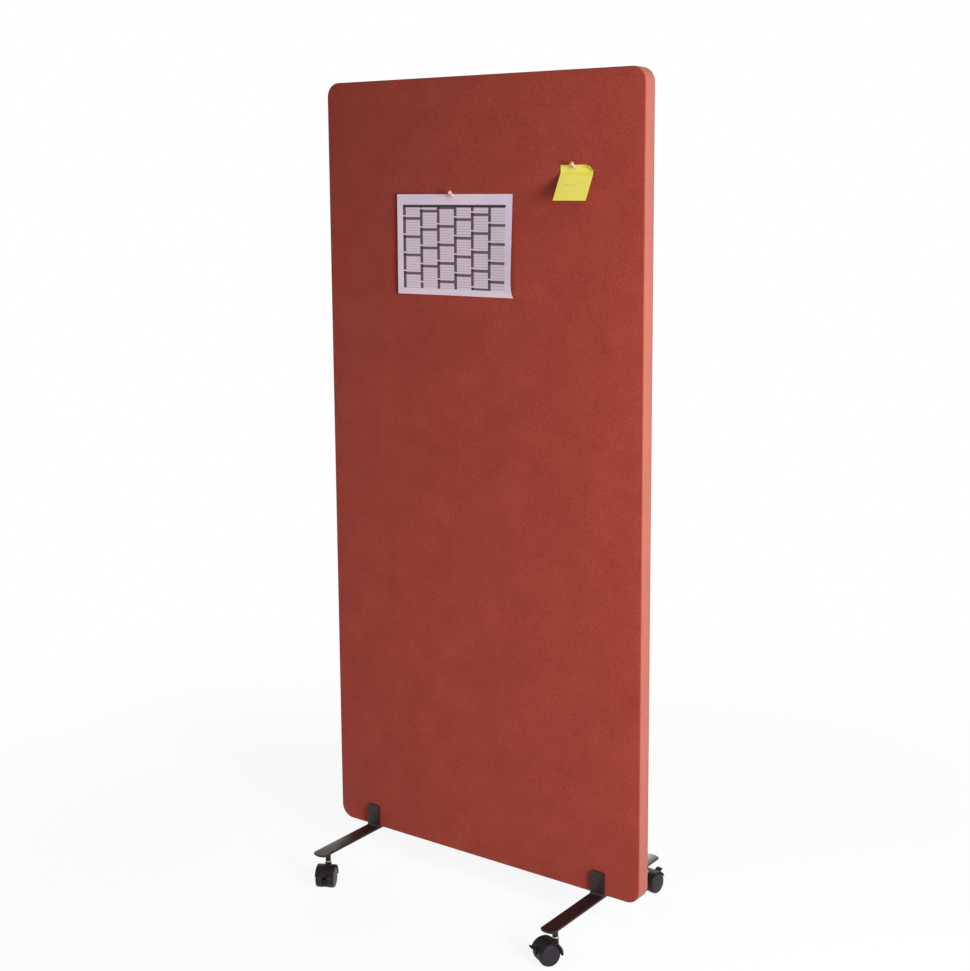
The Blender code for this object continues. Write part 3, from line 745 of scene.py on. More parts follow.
class GeometryTree(Graph):
    """A Geometry Nodes tree with named inputs, run once to get a plain mesh."""

    kinds = {float: "NodeSocketFloat", int: "NodeSocketInt",
             bpy.types.Object: "NodeSocketObject", bpy.types.Material: "NodeSocketMaterial"}

    def __init__(self, name: str, values: dict[str, object]) -> None:
        """Start a tree.

        Args:
            name: the tree's name.
            values: the value of each named input.
        """
        super().__init__(bpy.data.node_groups.new(name, "GeometryNodeTree"))
        face = self.tree.interface
        face.new_socket("Geometry", in_out="OUTPUT", socket_type="NodeSocketGeometry")
        self.values = {}
        for key, value in values.items():
            kind = self.kinds[type(value)]
            self.values[face.new_socket(key, in_out="INPUT", socket_type=kind).identifier] = value
        self.source = self.tree.nodes.new("NodeGroupInput")
        self.sink = self.tree.nodes.new("NodeGroupOutput")

    def __getitem__(self, key: str) -> Val:
        """A named input."""
        return Val(self, self.source.outputs[key])

    def rod(self, sides: int, radius: Val, length: Val) -> Val:
        """A rod along Z with so many sides."""
        return self.node("GeometryNodeMeshCylinder", None,
                         {"Vertices": sides, "Radius": radius, "Depth": length}, "Mesh")

    def lifted(self, geometry: Val, height: Val) -> Val:
        """Geometry moved along Z."""
        return self.node("GeometryNodeTransform", None,
                         {"Geometry": geometry, "Translation": self.vector(z=height)})

    def joined(self, *geometries: Val) -> Val:
        """Several geometries as one."""
        return self.node("GeometryNodeJoinGeometry", None, {"Geometry": list(geometries)})

    def welded(self, *geometries: Val) -> Val:
        """Several geometries as one, with the points that meet made one."""
        return self.node("GeometryNodeMergeByDistance", None,
                         {"Geometry": self.joined(*geometries), "Distance": TINY})

    def row(self, piece: Val, step: Val, start: Val | Place = (0.0, 0.0, 0.0)) -> Val:
        """As many copies of a piece as the input "Count" says, step by step from a start."""
        line = self.node("GeometryNodeMeshLine", {"mode": "OFFSET"},
                         {"Count": self["Count"], "Start Location": start, "Offset": step})
        return self.node("GeometryNodeInstanceOnPoints", None,
                         {"Points": line, "Instance": piece})

    def run(self, name: str, geometry: Val) -> bpy.types.Mesh:
        """End the tree and run it.

        Args:
            name: the mesh's name.
            geometry: what the tree makes, which gets the input "Material".

        Returns:
            The plain mesh.
        """
        real = self.node("GeometryNodeRealizeInstances", None, {"Geometry": geometry})
        dressed = self.node("GeometryNodeSetMaterial", None,
                            {"Geometry": real, "Material": self["Material"]})
        self.feed(self.sink.inputs["Geometry"], dressed)
        carrier = linked(name, bpy.data.meshes.new(name))
        modifier = carrier.modifiers.new("Tree", "NODES")
        modifier.node_group = self.tree
        for key, value in self.values.items():
            modifier[key] = value
        mesh = evaluated(carrier)
        mesh.name = name
        bpy.data.objects.remove(carrier)
        return mesh


def arc(centre: Point, radius: float, start: float, end: float, steps: int) -> list[Point]:
    """Points of an arc from one angle to another, in degrees, both ends included."""
    angles = [math.radians(start + (end - start) * i / steps) for i in range(steps + 1)]
    return [(centre[0] + radius * math.cos(a), centre[1] + radius * math.sin(a))
            for a in angles]


def skin(rows: Sequence[Sequence[Vector]]) -> bmesh.types.BMesh:
    """A closed form that runs from ring to ring, with a cap on the first and the last."""
    bm = bmesh.new()
    made = [[bm.verts.new(point) for point in row] for row in rows]
    for below, above in zip(made, made[1:]):
        for i, corner in enumerate(below):
            after = (i + 1) % len(below)
            bm.faces.new((corner, below[after], above[after], above[i]))
    bm.faces.new(made[0])
    bm.faces.new(made[-1])
    bmesh.ops.recalc_face_normals(bm, faces=bm.faces)
    return bm


def prism(outline: Sequence[Point], axis: Axis, low: float, high: float,
          edge: float = 0.0) -> bmesh.types.BMesh:
    """An outline extruded along an axis, with its edges rounded.

    Args:
        outline: the outline's points.
        axis: the way it is extruded.
        low: where it starts.
        high: where it ends.
        edge: the radius of its edges.

    Returns:
        The closed form.
    """
    bm = skin([[axis.point(u, v, place) for u, v in outline] for place in (low, high)])
    if edge:
        sharp = [e for e in bm.edges if e.calc_face_angle(0.0) > SHARP_ANGLE]
        bmesh.ops.bevel(bm, geom=sharp, offset=edge, segments=3, profile=0.5,
                        affect="EDGES", clamp_overlap=True)
    return bm


def turned(profile: Sequence[Point], axis: Axis = Axis.Z,
           steps: int = 48) -> bmesh.types.BMesh:
    """A profile of (radius, place) points turned about an axis."""
    rows = []
    for radius, place in profile:
        ring = arc((0.0, 0.0), max(radius, TINY), -90.0, 270.0 - 360.0 / steps, steps - 1)
        rows.append([axis.point(u, v, place) for u, v in ring])
    bm = skin(rows)
    bmesh.ops.remove_doubles(bm, verts=bm.verts, dist=TINY / 2)
    bmesh.ops.recalc_face_normals(bm, faces=bm.faces)
    return bm


def plain(bm: bmesh.types.BMesh) -> bpy.types.Mesh:
    """The form as a plain mesh."""
    mesh = bpy.data.meshes.new("work")
    bm.to_mesh(mesh)
    bm.free()
    return mesh


def merged(base: bmesh.types.BMesh, joined: Iterable[bmesh.types.BMesh] = (),
           cut: Iterable[bmesh.types.BMesh] = ()) -> bpy.types.Mesh:
    """Join forms to a base and cut others out of it.

    Args:
        base: the form to start from.
        joined: the forms to join.
        cut: the forms to cut out.

    Returns:
        The plain mesh.
    """
    obj = linked("work", plain(base))
    tools = []
    for operation, forms in (("UNION", joined), ("DIFFERENCE", cut)):
        for form in forms:
            tools.append(linked("tool", plain(form)))
            modifier = obj.modifiers.new(operation, "BOOLEAN")
            modifier.operation = operation
            modifier.solver = "EXACT"
            modifier.object = tools[-1]
    mesh = evaluated(obj)
    for item in (obj, *tools):
        bpy.data.objects.remove(item)
    return mesh


def joint(name: str) -> dict[str, object]:
    """A packed joint, found by its name."""
    return next(one for one in frame["joints"] if one["name"] == name)


class Finishes:
    """Every material, made once and found by the record's slot."""

    def __init__(self) -> None:
        """Make the materials."""
        even = (1.0, 1.0, 1.0)
        recipes: dict[str, Finish] = {
            "terracotta_felt": Felt("terracotta_felt", (115, 38, 27), (141, 53, 41),
                                    (166, 75, 59)),
            "rear_felt": Felt("rear_felt", (110, 36, 26), (135, 51, 39), (161, 73, 57)),
            "black_powder_coat": PowderCoat("black_powder_coat", (20, 13, 12), (46, 35, 34)),
            "black_castor_plastic": MouldedPlastic("castor_nylon", (17, 13, 16), (60, 54, 56)),
            "brake_lever_plastic": MouldedPlastic("lever_nylon", (18, 14, 17), (64, 58, 60)),
            "castor_wheel_plastic": WheelPlastic("wheel_nylon", (27, 21, 28), (9, 7, 9),
                                                 (50, 44, 50), Castor.wheel_radius),
            "zinc_steel": Metal("zinc_plate", (236, 236, 231), (212, 212, 207), 0.4),
            "zinc_fixings": Metal("zinc_screws", (196, 196, 190), (160, 160, 154), 0.34),
            "needle_steel": Metal("needle_steel", (206, 206, 206), (188, 188, 190), 0.2),
            "calendar_paper": PlannerPaper("planner_paper", (214, 194, 205), (202, 187, 208),
                                           (202, 183, 193), (68, 50, 62), (48, 34, 45),
                                           (165, 146, 159)),
            "yellow_paper": NotePaper("note_paper", (237, 225, 100), (219, 209, 79),
                                      (140, 134, 66)),
            "clear_pin_plastic": ClearPlastic("clear_pin", (250, 216, 208)),
            "fibre_board": Fibrous("fibre_board", (178, 152, 114), (150, 124, 88), 300.0,
                                   even, 0.9, 0.0003),
            "pine_frame": Fibrous("pine", (208, 175, 124), (178, 138, 86), 60.0,
                                  (1.0, 1.0, 0.12), 0.65, 0.0001),
            "acoustic_infill": Fibrous("wadding", (210, 207, 200), (186, 183, 176), 160.0,
                                       even, 1.0, 0.002),
        }
        self.materials = {slot: recipe.make() for slot, recipe in recipes.items()}

    def __getitem__(self, slot: str) -> bpy.types.Material:
        """The material of a slot."""
        return self.materials[slot]


@dataclass
class Assembly:
    """A sub-assembly: it turns meshes into dressed pieces that ride on their bodies."""

    finishes: Finishes
    pieces: list[str] = field(default_factory=list, init=False)

    def add(self, name: str, mesh: bpy.types.Mesh, slot: str, body: str,
            nodes: Sequence[str] = (), crease: float = 35.0) -> bpy.types.Object:
        """Make a mesh a finished piece.

        Args:
            name: the piece's name.
            mesh: the mesh, in the row frame.
            slot: the record's slot of its finish.
            body: the body that it rides on.
            nodes: the CAD nodes that it stands for.
            crease: the angle in degrees past which an edge stays sharp.

        Returns:
            The piece.
        """
        mesh.name = name
        mesh.materials.clear()
        mesh.materials.append(self.finishes[slot])
        mesh.shade_smooth()
        mesh.set_sharp_from_angle(angle=math.radians(crease))
        piece = linked(name, mesh)
        if nodes:
            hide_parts(*nodes)
        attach(piece, body)
        self.pieces.append(name)
        return piece

    def dress(self, nodes: Iterable[str], slot: str) -> None:
        """Give CAD nodes that stay as they are the slot's material."""
        for node in nodes:
            data = frame["nodes"][node].data
            data.materials.clear()
            data.materials.append(self.finishes[slot])
            self.pieces.append(node)

    def report(self) -> None:
        """Say which pieces were made."""
        for name in self.pieces:
            LOG.info("%s: %s", type(self).__name__, name)


@dataclass
class Covers(Assembly):
    """The two felt covers: rounded trays that meet near the rear edge."""

    corner_radius: float = 0.030
    corner_steps: int = 14
    thickness: float = 0.0015
    edge_radius: float = 0.0025
    rim_radius: float = 0.0007
    fill_inset: float = 0.026

    def section(self, depth: float) -> list[Point]:
        """The cover's cut from the inner face round its edge to the outer face.

        Args:
            depth: how deep the cover's wall reaches from the face.

        Returns:
            Points of (how far in from the outline, how deep from the face).
        """
        soft, rim, wall = self.edge_radius, self.rim_radius, self.thickness
        points = [(self.fill_inset, wall), (wall, wall), (wall, depth - rim)]
        points += arc((wall - rim, depth - rim), rim, 0.0, 90.0, 4)[1:]
        points += arc((rim, depth - rim), rim, 90.0, 180.0, 4)
        points += arc((soft, soft), soft, 180.0, 270.0, 10)
        points.append((self.fill_inset, 0.0))
        return points

    def profile_curve(self, depth: float) -> bpy.types.Object:
        """The section as a curve, which is the profile that the tree sweeps."""
        curve = bpy.data.curves.new("cover_section", "CURVE")
        curve.dimensions = "3D"
        spline = curve.splines.new("POLY")
        points = self.section(depth)
        spline.points.add(len(points) - 1)
        for point, (inset, deep) in zip(spline.points, points):
            point.co = (-inset, -deep, 0.0, 1.0)
        return linked("cover_section", curve)

    def sweep(self, name: str, slot: str, size: Place) -> bpy.types.Mesh:
        """Sweep the section round the panel's outline and close the faces.

        Args:
            name: the mesh's name.
            slot: the record's slot of its finish.
            size: how wide, deep and high the cover is.

        Returns:
            The mesh, lying flat with its face down.
        """
        width, depth, height = size
        carrier = self.profile_curve(depth)
        tree = GeometryTree("felt_cover", {
            "Width": width, "Height": height, "Corner Radius": self.corner_radius,
            "Corner Steps": self.corner_steps, "Fill Inset": self.fill_inset,
            "Thickness": self.thickness, "Section": carrier,
            "Material": self.finishes[slot]})

        def outline(inset: Operand) -> Val:
            """The panel's outline, drawn in by the inset."""
            oblong = tree.node("GeometryNodeCurvePrimitiveQuadrilateral", None,
                               {"Width": tree["Width"] - inset * 2.0,
                                "Height": tree["Height"] - inset * 2.0})
            return tree.node("GeometryNodeFilletCurve", {"mode": "POLY"},
                             {"Curve": oblong, "Count": tree["Corner Steps"],
                              "Radius": tree["Corner Radius"] - inset})

        way = tree.node("GeometryNodeSetCurveNormal", {"mode": "Z_UP"},
                        {"Curve": outline(0.0)})
        profile = tree.node("GeometryNodeObjectInfo", None, {"Object": tree["Section"]},
                            "Geometry")
        wall = tree.node("GeometryNodeCurveToMesh", None,
                         {"Curve": way, "Profile Curve": profile})
        face = tree.node("GeometryNodeFillCurve", {"mode": "NGONS"},
                         {"Curve": outline(tree["Fill Inset"])})
        lining = tree.lifted(face, tree["Thickness"])
        mesh = tree.run(name, tree.welded(wall, face, lining))
        bpy.data.objects.remove(carrier)
        return mesh

    def cover(self, name: str, slot: str, front: bool) -> None:
        """Build one cover.

        Args:
            name: the CAD node that it stands for.
            slot: the record's slot of its finish.
            front: whether it is the front one.
        """
        low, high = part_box(name)
        middle = (low + high) / 2
        width, depth, height = (above - below for below, above in zip(low, high))
        mesh = self.sweep(name, slot, (width, depth, height))
        face, inward = (low.y, 1.0) if front else (high.y, -1.0)
        mesh.transform(Matrix(((1, 0, 0, middle.x), (0, 0, inward, face),
                               (0, 1, 0, middle.z), (0, 0, 0, 1))))
        # 0 on the front face and 1 on the sides: where the felt's painted side highlight goes.
        wrap = mesh.attributes.new("wrap", "FLOAT", "POINT")
        wrap.data.foreach_set("value", [min(1.0, abs(v.co.y - face) / self.edge_radius)
                                        for v in mesh.vertices])
        bm = bmesh.new()
        bm.from_mesh(mesh)
        bmesh.ops.recalc_face_normals(bm, faces=bm.faces)
        bm.to_mesh(mesh)
        bm.free()
        piece = self.add(f"{name}_felt", mesh, slot, "panel", [name])

    def build(self) -> None:
        """Build both covers and dress what lies inside them."""
        self.cover("front_cover", "terracotta_felt", True)
        self.cover("rear_cover", "rear_felt", False)
        self.dress(["front_board", "rear_board"], "fibre_board")
        self.dress(["top_rail", "bottom_rail", "left_stile", "right_stile"], "pine_frame")
        self.dress(["acoustic_infill"], "acoustic_infill")


@dataclass
class Foot(Assembly):
    """A flat steel foot: the bar, its two tabs, its stem bosses and its screws."""

    side: str
    width: float = 0.033
    plate: float = 0.005
    end_bulge: float = 0.005
    end_corner: float = 0.003
    corner_shares: Place = (0.12, 0.5, 0.75)
    edge: float = 0.0008
    tab_corner: float = 0.0055
    fillet: float = 0.004
    panel_face: float = 0.018
    boss_radius: float = 0.0058
    boss_length: float = 0.020
    boss_inset: float = 0.034
    screw_spacing: float = 0.018
    screw_head: Point = (0.0055, 0.003)
    screw_taper: float = 0.84
    screw_sides: tuple[int, int, int] = (32, 6, 20)
    screw_socket: Point = (0.0022, 0.0018)
    screw_shank: Point = (0.003, 0.018)

    def measure(self) -> tuple[Vector, Vector]:
        """The corners of the bar with its tabs, without the bosses."""
        low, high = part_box(f"{self.side}_foot")
        return Vector((low.x, low.y, low.z + self.boss_length)), high

    def bar(self, low: Vector, high: Vector) -> bmesh.types.BMesh:
        """The bar, with shallow round ends and small corners."""
        half, reach = self.width / 2, (high.y - low.y) / 2
        radius = (half ** 2 + self.end_bulge ** 2) / (2 * self.end_bulge)
        sweep = math.degrees(math.asin((half - self.end_corner) / radius))
        inward, onward, back = (self.end_corner * share for share in self.corner_shares)
        flank = reach - self.end_bulge - back
        end = arc((0.0, reach - radius), radius, 90.0 - sweep, 90.0 + sweep, 16)
        corner = [(half, flank), (half - inward, flank + onward)]
        outline = corner + end + [(-x, y) for x, y in reversed(corner)]
        outline += [(-x, -y) for x, y in outline]
        bm = prism(outline, Axis.Z, low.z, low.z + self.plate, self.edge)
        bmesh.ops.translate(bm, verts=bm.verts, vec=((low.x + high.x) / 2, 0.0, 0.0))
        return bm

    def tab(self, low: Vector, high: Vector, sign: int) -> list[bmesh.types.BMesh]:
        """One upright tab with the fillet at its root."""
        half, middle = self.width / 2, (low.x + high.x) / 2
        inner = self.panel_face + CLEARANCE
        outer = inner + self.plate
        root = low.z + self.plate / 2
        shoulder = (half - self.tab_corner, high.z - self.tab_corner)
        outline = [(half, root)] + arc(shoulder, self.tab_corner, 0.0, 90.0, 10)
        outline += arc((-shoulder[0], shoulder[1]), self.tab_corner, 90.0, 180.0, 10)
        outline.append((-half, root))
        faces = sorted((sign * inner, sign * outer))
        plate = prism([(middle + x, z) for x, z in outline], Axis.Y, *faces, self.edge)
        top = low.z + self.plate
        side = [(outer - self.edge, root), (outer + self.fillet, root)]
        side += arc((outer + self.fillet, top + self.fillet), self.fillet, 270.0, 180.0, 10)
        side.append((outer - self.edge, top + self.fillet))
        reach = half - self.edge
        root_fillet = prism([(sign * y, z) for y, z in side], Axis.X, middle - reach,
                            middle + reach)
        return [plate, root_fillet]

    def boss(self, low: Vector, high: Vector, sign: int) -> bmesh.types.BMesh:
        """The boss that takes a castor's stem."""
        radius, edge = self.boss_radius, self.edge / 2
        foot = low.z - self.boss_length
        bm = turned([(0.0, foot), (radius - edge, foot), (radius, foot + edge),
                     (radius, low.z - edge), (radius + edge * 2, low.z + edge),
                     (0.0, low.z + edge)])
        place = ((low.x + high.x) / 2, sign * (high.y - self.boss_inset), 0.0)
        bmesh.ops.translate(bm, verts=bm.verts, vec=place)
        return bm

    def screws(self, low: Vector, high: Vector) -> bpy.types.Mesh:
        """The two socket-head screws that come up through the bar."""
        name = f"{self.side}_foot_screws"
        tree = GeometryTree("socket_screws", {
            "Count": 2, "Spacing": self.screw_spacing,
            "Head Radius": self.screw_head[0], "Head Height": self.screw_head[1],
            "Socket Radius": self.screw_socket[0], "Socket Depth": self.screw_socket[1],
            "Shank Radius": self.screw_shank[0], "Shank Length": self.screw_shank[1],
            "Material": self.finishes["zinc_fixings"]})
        height, length, spacing = tree["Head Height"], tree["Shank Length"], tree["Spacing"]
        of_head, of_socket, of_shank = self.screw_sides
        head = tree.node("GeometryNodeMeshCone", None,
                         {"Vertices": of_head, "Radius Top": tree["Head Radius"],
                          "Radius Bottom": tree["Head Radius"] * self.screw_taper,
                          "Depth": height}, "Mesh")
        socket = tree.rod(of_socket, tree["Socket Radius"], tree["Socket Depth"] * 2.0)
        head = tree.node("GeometryNodeMeshBoolean", {"operation": "DIFFERENCE"},
                         {"Mesh 1": tree.lifted(head, height * -1.0),
                          "Mesh 2": tree.lifted(socket, height * -1.0)}, "Mesh")
        shank = tree.rod(of_shank, tree["Shank Radius"], length)
        screw = tree.joined(head, tree.lifted(shank, length * 0.5 - TINY))
        reach = (tree["Count"] - 1.0) * spacing
        row = tree.row(screw, tree.vector(spacing), tree.vector(reach * -0.5))
        mesh = tree.run(name, row)
        mesh.transform(Matrix.Translation(((low.x + high.x) / 2, 0.0, low.z - CLEARANCE)))
        return mesh

    def build(self) -> None:
        """Build the foot and its screws, and dress its inserts."""
        low, high = self.measure()
        joined = self.tab(low, high, -1) + self.tab(low, high, 1)
        joined += [self.boss(low, high, -1), self.boss(low, high, 1)]
        mesh = merged(self.bar(low, high), joined)
        side = self.side
        self.add(f"{side}_foot_bar", mesh, "black_powder_coat", "panel", [f"{side}_foot"])
        self.add(f"{side}_foot_screws", self.screws(low, high), "zinc_fixings", "panel",
                 [f"{side}_foot_screw_{number}" for number in (1, 2)], crease=30.0)
        self.dress([f"{side}_insert_{number}" for number in (1, 2)], "zinc_fixings")


@dataclass
class Castor(Assembly):
    """A twin-wheel castor: hood, wheels, axle, stem and brake lever."""

    place: str
    sides: int = 72
    wheel_radius: float = 0.0225
    wheel_inner: float = 0.006
    tyre_outer: float = 0.0172
    tyre_edge: float = 0.0012
    tyre_recess: tuple[Point, ...] = ((0.009, 0.0), (0.0095, 0.001), (0.0185, 0.001),
                                      (0.019, 0.0))
    tyre_bevel: float = 0.0008
    seam: Place = (0.0198, 0.0001, 0.0016)
    disc_rim: Point = (0.0213, 0.0202)
    disc_crown: float = 0.0212
    disc_shares: tuple[float, ...] = (0.85, 0.65, 0.45, 0.27)
    disc_ring: tuple[Point, ...] = ((0.0048, 0.0001), (0.0045, 0.0004), (0.0042, 0.0004),
                                    (0.0039, 0.0001))
    offset: float = 0.0195
    hood_inner: float = 0.0237
    hood_outer: float = 0.0264
    hood_lead: float = 0.0021
    hood_trail: float = 0.0014
    hood_side: float = 0.0208
    hood_shoulder: Point = (0.0014, 0.0009)
    hood_angles: Point = (-7.0, 158.0)
    hood_steps: int = 44
    roof_crown: tuple[Point, ...] = ((0.45, 1.03), (0.0, 1.05))
    roof_lip: Point = (0.0003, 0.1)
    nose_share: float = 0.2
    nose_angles: tuple[int, ...] = (10, 30, 55)
    web_thickness: float = 0.011
    web_setbacks: Point = (1, 2)
    web_edge: float = 0.0005
    web_steps: int = 40
    guard_radius: float = 0.0217
    guard_setback: float = 2.0
    neck_radius: float = 0.007
    neck_top: float = 0.0495
    neck_start: float = 0.25
    neck_flare: float = 0.0016
    neck_shares: tuple[Point, ...] = ((1.0, 0.0), (0.55, 2.0), (0.2, 4.0), (0.0, 6.0))
    rounding: float = 0.0007
    stem_flange: Point = (0.0065, 0.0027)
    stem_chamfer: float = 0.0003
    stem_pin: Point = (0.0035, 0.012)
    stem_thread: Point = (0.004, 0.015)
    lever_angle: float = 152.0
    lever_pivot: float = 0.0175
    lever_start: float = 0.0298
    lever_tip: float = 0.0402
    lever_width: float = 0.0135
    lever_taper: float = 0.9
    lever_neck: float = 0.003
    lever_arm: Point = (0.006, 0.004)
    arm_edge: float = 0.0003
    lever_eye: float = 0.0028
    lever_room: float = 0.009
    lever_base: float = 0.006
    lever_end: float = 0.0032
    rib_count: int = 4
    rib_pitch: float = 0.0019
    rib_radius: float = 0.0005
    rib_start: float = 0.0016
    rib_margin: float = 0.003

    def matrix(self) -> Matrix:
        """Where the castor stands and which way it trails, from the packed joints."""
        x, y, _ = joint(f"{self.place}_swivel")["pos_m"]
        axle = joint(f"{self.place}_left_wheel_spin")["axis"]
        return Matrix.Translation((x, y, 0.0)) @ Matrix.Rotation(
            math.atan2(axle[1], axle[0]), 4, "Z")

    def side_point(self, radius: float, angle: float) -> Point:
        """A place in the side view, round the axle: 0 degrees leads and 90 is up."""
        return (radius * math.cos(math.radians(angle)) - self.offset,
                radius * math.sin(math.radians(angle)) + self.wheel_radius)

    def roof_section(self) -> list[Point]:
        """The roof's cut across the castor.

        Returns:
            Points of (across, share of the wall's thickness out from its inner face).
        """
        side, (wide, deep) = self.hood_side, self.hood_shoulder
        drop = deep / (self.hood_outer - self.hood_inner)
        half = []
        for angle in range(0, 91, 18):
            turn = math.radians(angle)
            half.append((side - wide + wide * math.cos(turn), 1.0 - drop + drop * math.sin(turn)))
        near, middle = self.roof_crown
        half.append((side * near[0], near[1]))
        points = half + [middle] + [(-across, share) for across, share in reversed(half)]
        lip, rise = self.roof_lip
        inner = side - lip
        return points + [(-side, rise), (-inner, 0.0), (inner, 0.0), (side, rise)]

    def roof_outer(self, angle: float) -> float:
        """How far the roof's outer face is from the axle: more in front than behind."""
        ahead = math.cos(math.radians(angle))
        return self.hood_outer + ahead * (self.hood_lead if ahead > 0.0 else self.hood_trail)

    def nose(self, place: float, inward: int) -> list[Point]:
        """The round end of the roof.

        Args:
            place: the angle of its tip.
            inward: 1 where the roof runs on to larger angles, and -1 at the other end.

        Returns:
            Points of (angle, share of the wall's thickness), from the tip to the full wall.
        """
        wall = self.roof_outer(place) - self.hood_inner
        length = math.degrees(wall * self.nose_share / self.hood_inner) * inward
        turns = [math.radians(angle) for angle in self.nose_angles]
        points = [(place + length * (1 - math.cos(turn)), math.sin(turn)) for turn in turns]
        return points + [(place + length, 1.0)]

    def roof(self) -> bmesh.types.BMesh:
        """The roof over the wheels, with round noses at both ends."""
        front, back = (self.nose(place, way) for place, way in zip(self.hood_angles, (1, -1)))
        start, end = front[-1][0], back[-1][0]
        steps = self.hood_steps
        stations = front + [(start + (end - start) * i / steps, 1.0) for i in range(1, steps)]
        section, rows = self.roof_section(), []
        for angle, share in stations + back[::-1]:
            wall = self.roof_outer(angle) - self.hood_inner
            middle = self.hood_inner + wall / 2
            row = []
            for across, out in section:
                kept = middle + (self.hood_inner + wall * out - middle) * share
                row.append(Vector((across, *self.side_point(kept, angle))))
            rows.append(row)
        return skin(rows)

    def web(self) -> bmesh.types.BMesh:
        """The plate between the wheels, which also keeps threads off the axle."""
        axle = (-self.offset, self.wheel_radius)
        middle = (self.hood_inner + self.hood_outer) / 2
        (start, end), (first, last) = self.hood_angles, self.web_setbacks
        outline = arc(axle, middle, start + first, end - last, self.web_steps)
        outline += arc(axle, self.guard_radius, end + self.guard_setback,
                       360 + start - self.guard_setback, self.web_steps)
        half = self.web_thickness / 2
        return prism(outline, Axis.X, -half, half, self.web_edge)

    def neck(self) -> bmesh.types.BMesh:
        """The neck that turns on the stem, with a soft flare at its foot."""
        radius, top, flare, soft = self.neck_radius, self.neck_top, self.neck_flare, self.rounding
        foot = self.wheel_radius + self.hood_outer * self.neck_start
        profile = [(0.0, foot)]
        profile += [(radius + flare * out, foot + flare * up) for out, up in self.neck_shares]
        profile += arc((radius - soft, top - soft), soft, 0.0, 90.0, 4)
        return turned(profile + [(0.0, top)])

    def lever_slot(self) -> bmesh.types.BMesh:
        """The room in the hood that the lever's arm tips in."""
        half, eye = self.lever_arm[0] / 2 + CLEARANCE, self.lever_eye + CLEARANCE
        bm = prism([(-eye, -eye), (self.lever_tip, -eye), (self.lever_tip, self.lever_room),
                    (-eye, self.lever_room)], Axis.X, -half, half)
        bmesh.ops.transform(bm, matrix=self.lever_matrix(), verts=bm.verts)
        return bm

    def lever_matrix(self) -> Matrix:
        """The lever's own frame: about its trunnions, with the pedal out along +Y."""
        pivot = self.side_point(self.lever_pivot, self.lever_angle)
        return Matrix.Translation((0.0, *pivot)) @ Matrix.Rotation(
            math.radians(self.lever_angle), 4, "X")

    def hood(self) -> bpy.types.Mesh:
        """The hood: roof, web and neck, with the lever's slot."""
        return merged(self.roof(), [self.web(), self.neck()], [self.lever_slot()])

    def wheel(self, sign: int) -> bpy.types.Mesh:
        """One wheel: the tyre, a seam, and the crowned side disc."""
        inner, radius, bevel = self.wheel_inner, self.wheel_radius, self.tyre_bevel
        outer, edge = self.tyre_outer, self.tyre_edge
        seam, step, gap = self.seam
        rim, face = self.disc_rim
        profile = [(0.0, inner)] + [(r, inner + deep) for r, deep in self.tyre_recess]
        profile += [(radius - bevel, inner), (radius, inner + bevel)]
        profile += arc((radius - edge, outer - edge), edge, 0.0, 70.0, 6)
        profile += [(seam, outer + step), (seam, outer + gap)]
        turn = face - outer - gap
        flat, crown = rim - turn, self.disc_crown - face
        profile += arc((flat, face - turn), turn, 0.0, 90.0, 6)
        profile += [(flat * share, face + crown * (1 - share ** 2)) for share in self.disc_shares]
        profile += [(r, self.disc_crown - deep) for r, deep in self.disc_ring]
        profile.append((0.0, self.disc_crown))
        mesh = plain(turned([(r, sign * place) for r, place in profile], Axis.X, self.sides))
        distance = mesh.attributes.new("axle_distance", "FLOAT", "POINT")
        distance.data.foreach_set("value", [v.co.yz.length for v in mesh.vertices])
        mesh.transform(Matrix.Translation((0.0, -self.offset, self.wheel_radius)))
        return mesh

    def stem(self) -> bpy.types.Mesh:
        """The stem's pin, its bright flange and the start of its thread."""
        foot, chamfer = self.neck_top + CLEARANCE, self.stem_chamfer
        (radius, thick), (pin, depth), (thread, length) = (self.stem_flange, self.stem_pin,
                                                           self.stem_thread)
        top = foot + thick
        return plain(turned([
            (0.0, foot - depth), (pin, foot - depth), (pin, foot), (radius - chamfer, foot),
            (radius, foot + chamfer), (radius, top - chamfer), (radius - chamfer, top),
            (thread, top), (thread, top + length), (0.0, top + length)]))

    def lever(self) -> bpy.types.Mesh:
        """The brake lever: the pedal's wedge, its arm and the eye round the trunnions."""
        start, tip = self.lever_start - self.lever_pivot, self.lever_tip - self.lever_pivot
        base, end = self.lever_base / 2, self.lever_end / 2
        outline = [(start, -base)] + arc((tip - end, 0.0), end, -90.0, 90.0, 8)
        neck = start + self.lever_neck
        outline += [(neck, base * self.lever_taper), (start, base)]
        wide = self.lever_width / 2
        pedal = prism(outline, Axis.X, -wide, wide, self.rounding)
        side, half = self.lever_arm[0] / 2, self.lever_arm[1] / 2
        arm = prism([(0.0, -half), (neck, -half), (neck, half), (0.0, half)], Axis.X, -side,
                    side, self.arm_edge)
        ring = self.lever_eye
        eye = turned([(0.0, -side), (ring, -side), (ring, side), (0.0, side)], Axis.X, 24)
        return merged(pedal, [arm, eye])

